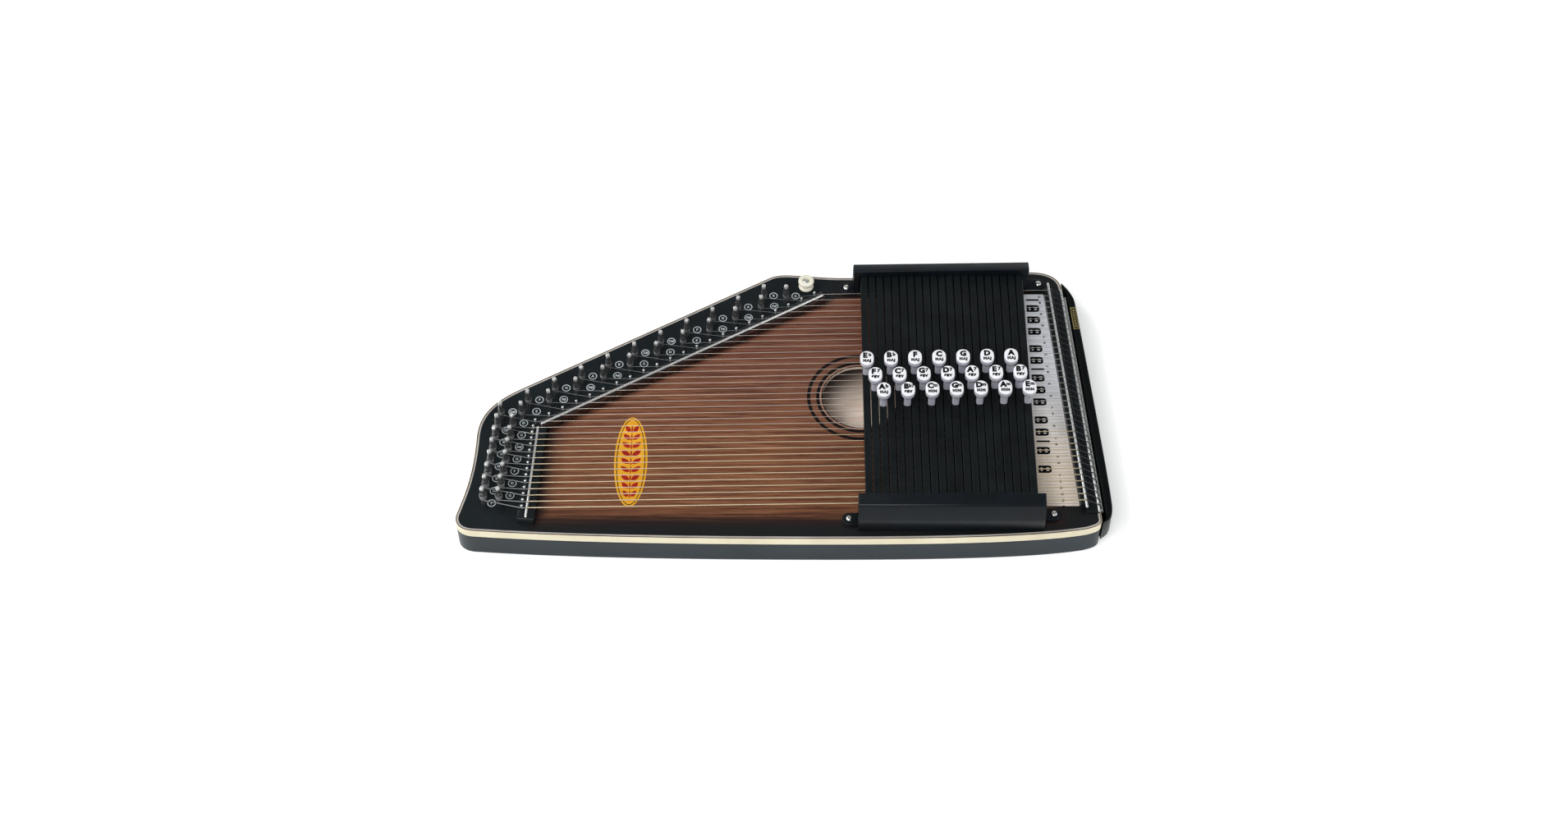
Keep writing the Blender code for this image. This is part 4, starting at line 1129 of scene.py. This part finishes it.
def make_chord(bar):
    number, body = bar.number, bar.body
    wood = plate([bar_outline(bar)], FELT_TOP, bar.top, above=0.7, below=0.2)
    make("bar_" + number, wood, BAR, "bar_lacquer", bar.node, body)
    make("felt_" + number, felt_shape(bar), FELT, "felt", None, body)
    top = bar.button_top - FLAT - 0.02
    button = button_shape(bar.button, bar.top, top)
    # Painted shade: the post and sides take the darker look, and the top takes the white face look.
    make("chord_button_" + number, button, [BUTTON_PAINTED_SHADE, BUTTON_FACE], "button_plastic", bar.button_node, body)
    mark = bar.root[1:] + CHORD_MARKS[bar.kind]
    x, y = bar.button
    writing = Shape().lettering(bar.root[0].upper(), 7.2, (x - 1.6 * bool(mark), y + 2.4), top, 0.5)
    if mark:
        writing.lettering(mark, 4.6, (x + 2.3 + 0.3 * len(mark), y + 3.1), top, 0.3)
    writing.lettering(CHORD_WORDS[bar.kind], 3.5, (x, y - 3.1), top, 0.34, 1.25)
    make("button_mark_" + number, writing, INK, "button_ink", None, body)
    for side, y in (("near", NEAR_EDGE - SPRING_OFFSET), ("far", far_edge(bar.x) + SPRING_OFFSET)):
        coil = Shape().tube(spring_path(bar.x, y, FELT_TOP), SPRING_WIRE)
        spring = make("spring_%s_%s" % (side, number), coil, SPRING_STEEL, "spring_steel")
        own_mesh(spring)


def make_spring_strips():
    middle = 0.5 * (BARS[0].x + BARS[-1].x)
    half = 0.5 * (BARS[-1].x - BARS[0].x) + 3.0
    flat = rectangle(1.0, SPRING_STRIP_TOP - 0.5, 7.0, SPRING_STRIP_TOP)
    strip = plate([flat], -half, half)
    for side in ("near", "far"):
        shape = Shape().join(strip, holder_matrix(middle, side == "far"))
        make("spring_strip_" + side, shape, SPRING_STEEL, "spring_steel", "bar_springs_" + side)


# ---------------- end cover and strap button

def smooth_run(points, rounds=2):
    """An open run of points with its corners cut, keeping its ends."""
    for _ in range(rounds):
        cut = [points[0]]
        for a, b in zip(points, points[1:]):
            first, second = Vector(a), Vector(b)
            cut += [tuple(first * 0.75 + second * 0.25), tuple(first * 0.25 + second * 0.75)]
        points = cut + [points[-1]]
    return points


def sample_run(points, count):
    """Points at equal steps along a run."""
    lengths = [0.0]
    for a, b in zip(points, points[1:]):
        lengths.append(lengths[-1] + (Vector(b) - Vector(a)).length)
    found = []
    for k in range(count):
        goal = lengths[-1] * k / (count - 1)
        j = next(i for i in range(1, len(points)) if lengths[i] >= goal - 1e-9)
        t = (goal - lengths[j - 1]) / (lengths[j] - lengths[j - 1])
        found.append(Vector(points[j - 1]).lerp(Vector(points[j]), t))
    return found


def cover_section(width):
    """The cover's (outward, up) section: its upper edge is rounded, and it is open inwards."""
    bottom = COVER_BOTTOM - TOP
    slot = min(COVER_SLOT, 0.55 * width)
    wall = max(width - COVER_WALL, slot + 0.1)
    curve = min(2.0, 0.25 * width)
    return [
        (0.0, bottom), (width - curve, bottom), (width - 0.3 * curve, bottom + 0.3 * curve),
        (width, bottom + curve), (width, -curve), (width - 0.08 * curve, -0.62 * curve),
        (width - 0.3 * curve, -0.3 * curve), (width - 0.62 * curve, -0.08 * curve), (width - curve, 0.0),
        (slot + 0.25, 0.0), (slot, -0.25), (slot, -COVER_WALL), (wall, -COVER_WALL),
        (wall, bottom + COVER_WALL), (0.0, bottom + COVER_WALL),
    ]


def make_end_cover():
    """A C-section that follows the body's right edge and closes against it at both ends."""
    outline = inset(body_outline(), -0.3)
    corner = 4 * OUTLINE_STEPS - 1
    inner_run = [outline[corner - 6]] + outline[corner - 4:corner + 2] + [outline[corner + 4]]
    edge_start = Vector(outline[corner])
    way, normal = ways(outline[corner:corner + 2])
    rings = []
    for outer in sample_run(smooth_run(COVER_OUTER), 72):
        inner = outer - normal * max((outer - edge_start).dot(normal), 0.0)
        for a, b in zip(inner_run, inner_run[1:]):
            first, run = Vector(a), Vector(b) - Vector(a)
            t = (outer - first).dot(run) / run.length_squared
            if 0.0 <= t <= 1.0 and (outer - first - run * t).length < (outer - inner).length:
                inner = first + run * t
        across = outer - inner
        unit = across.normalized() if across.length > 0.01 else normal
        rings.append([(*(inner + unit * out), up) for out, up in cover_section(across.length)])
    make("string_end_cover", Shape().loft(rings), COVER, "cover_plastic", "end_cover", crease=50.0)

    turn = Matrix.Translation((*LABEL, 0.0)) @ Matrix.Rotation(-atan2(way.x, way.y), 4, "Z")
    flat, outer, inner = [[half - edge for half in LABEL_HALF] for edge in (0.0, 0.35, 0.85)]
    flat, outer, inner = [rectangle(-x, -y, x, y) for x, y in (flat, outer, inner)]
    base = plate([soften(flat, [0.8] * 4)], -0.2, 0.1)
    make("cover_label", Shape().join(base, turn), LABEL_DARK, "label_gold")
    border = plate([outer, hole(inner)], 0.0, 0.1 + FLAT)
    for k in range(-3, 4):
        border.slab([ellipse((0.0, 2.9 * k), (1.0, 0.8), 4)], rounded(0.0, 0.1 + FLAT))
    make("label_border", Shape().join(border, turn), GOLD, "label_gold")


def make_strap_button():
    profile = [
        (0.0, 0.0), (6.3, 0.0), (6.6, 0.3), (6.6, 0.9), (6.2, 1.3), (4.4, 1.6), (4.0, 2.2), (4.0, 5.2),
        (4.6, 5.9), (6.6, 6.3), (7.0, 6.8), (7.0, 8.1), (6.7, 8.7), (6.1, 9.0), (3.7, 9.0), (3.45, 8.8),
        (3.4, 7.7), (0.0, 7.7),
    ]
    make("strap_post", Shape().lathe(profile, STRAP_BUTTON, 48), STRAP, "strap_plastic", "strap_button")
    place = Matrix.Translation((*STRAP_BUTTON, 7.7)) @ Matrix.Rotation(0.4, 4, "Z")
    make("strap_screw", Shape().join(screw_head(2.9, 1.2), place), SCREW_STEEL, "screw_steel")


# ---------------- studio

def aimed_light(name, place, size, power):
    """A rectangular light turned to the world's origin."""
    lamp = bpy.data.lights.new(name, "AREA")
    lamp.shape = "RECTANGLE"
    lamp.size, lamp.size_y = size
    lamp.energy = power
    holder = add_object(name, lamp)
    holder.location = place
    holder.rotation_euler = (-Vector(place)).to_track_quat("-Z", "Y").to_euler()


def make_studio():
    reach = 6.0
    corners = [(x, y, 0.0) for x, y in rectangle(-reach, -reach, reach, reach)]
    ground = bpy.data.meshes.new("floor")
    ground.from_pydata(corners, [], [(0, 1, 2, 3)])
    paper = surface("floor_paper", (246, 246, 245), (250, 250, 250), 400.0, (0.8, 0.9), specular=0.1)
    glow = paper.node_tree.nodes["Principled BSDF"].inputs
    glow["Emission Color"].default_value = (1.0, 1.0, 1.0, 1.0)
    glow["Emission Strength"].default_value = 0.32
    ground.materials.append(paper)
    floor = add_object("floor", ground)
    floor.location.z = -0.0002
    aimed_light("key_light", (-0.7, -1.5, 2.2), (1.6, 1.0), 36.0)
    aimed_light("high_light", (-1.7, 0.7, 2.3), (0.8, 0.8), 24.0)
    aimed_light("left_light", (-2.0, -0.8, 1.5), (1.0, 1.0), 14.0)
    aimed_light("right_light", (2.0, -0.6, 1.4), (1.0, 1.0), 14.0)
    aimed_light("back_light", (0.4, 2.6, 0.9), (2.0, 0.5), 6.0)
    world = bpy.data.worlds.new("studio")
    world.use_nodes = True
    background = world.node_tree.nodes["Background"].inputs
    background["Color"].default_value = (0.95, 0.98, 1.0, 1.0)
    background["Strength"].default_value = 0.28
    bpy.context.scene.world = world
    bpy.context.scene.view_settings.view_transform = "Standard"


def make_camera():
    lens = bpy.data.cameras.new("camera")
    lens.sensor_width = 36.0
    lens.lens = 56.15
    camera = add_object("camera", lens)
    camera.location = (-0.0009, -1.2568, 1.7481)
    camera.rotation_euler = (radians(36.0), 0.0, 0.0)
    bpy.context.scene.camera = camera


FELT_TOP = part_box("chord_bar_01_eb_major")[1].z / MM - TOP - BAR_HEIGHT
BARS = chord_bars()

make_camera()
make_studio()
make_body()
make_rosette()
make_decal()
make_supports()
make_pins()
make_chart()
make_holder("near", False, NEAR_EARS, "bar_holder_near")
make_holder("far", True, FAR_EARS, "bar_holder_far")
make_screws()
make_spring_strips()
for chord_bar in BARS:
    make_chord(chord_bar)
make_end_cover()
make_strap_button()
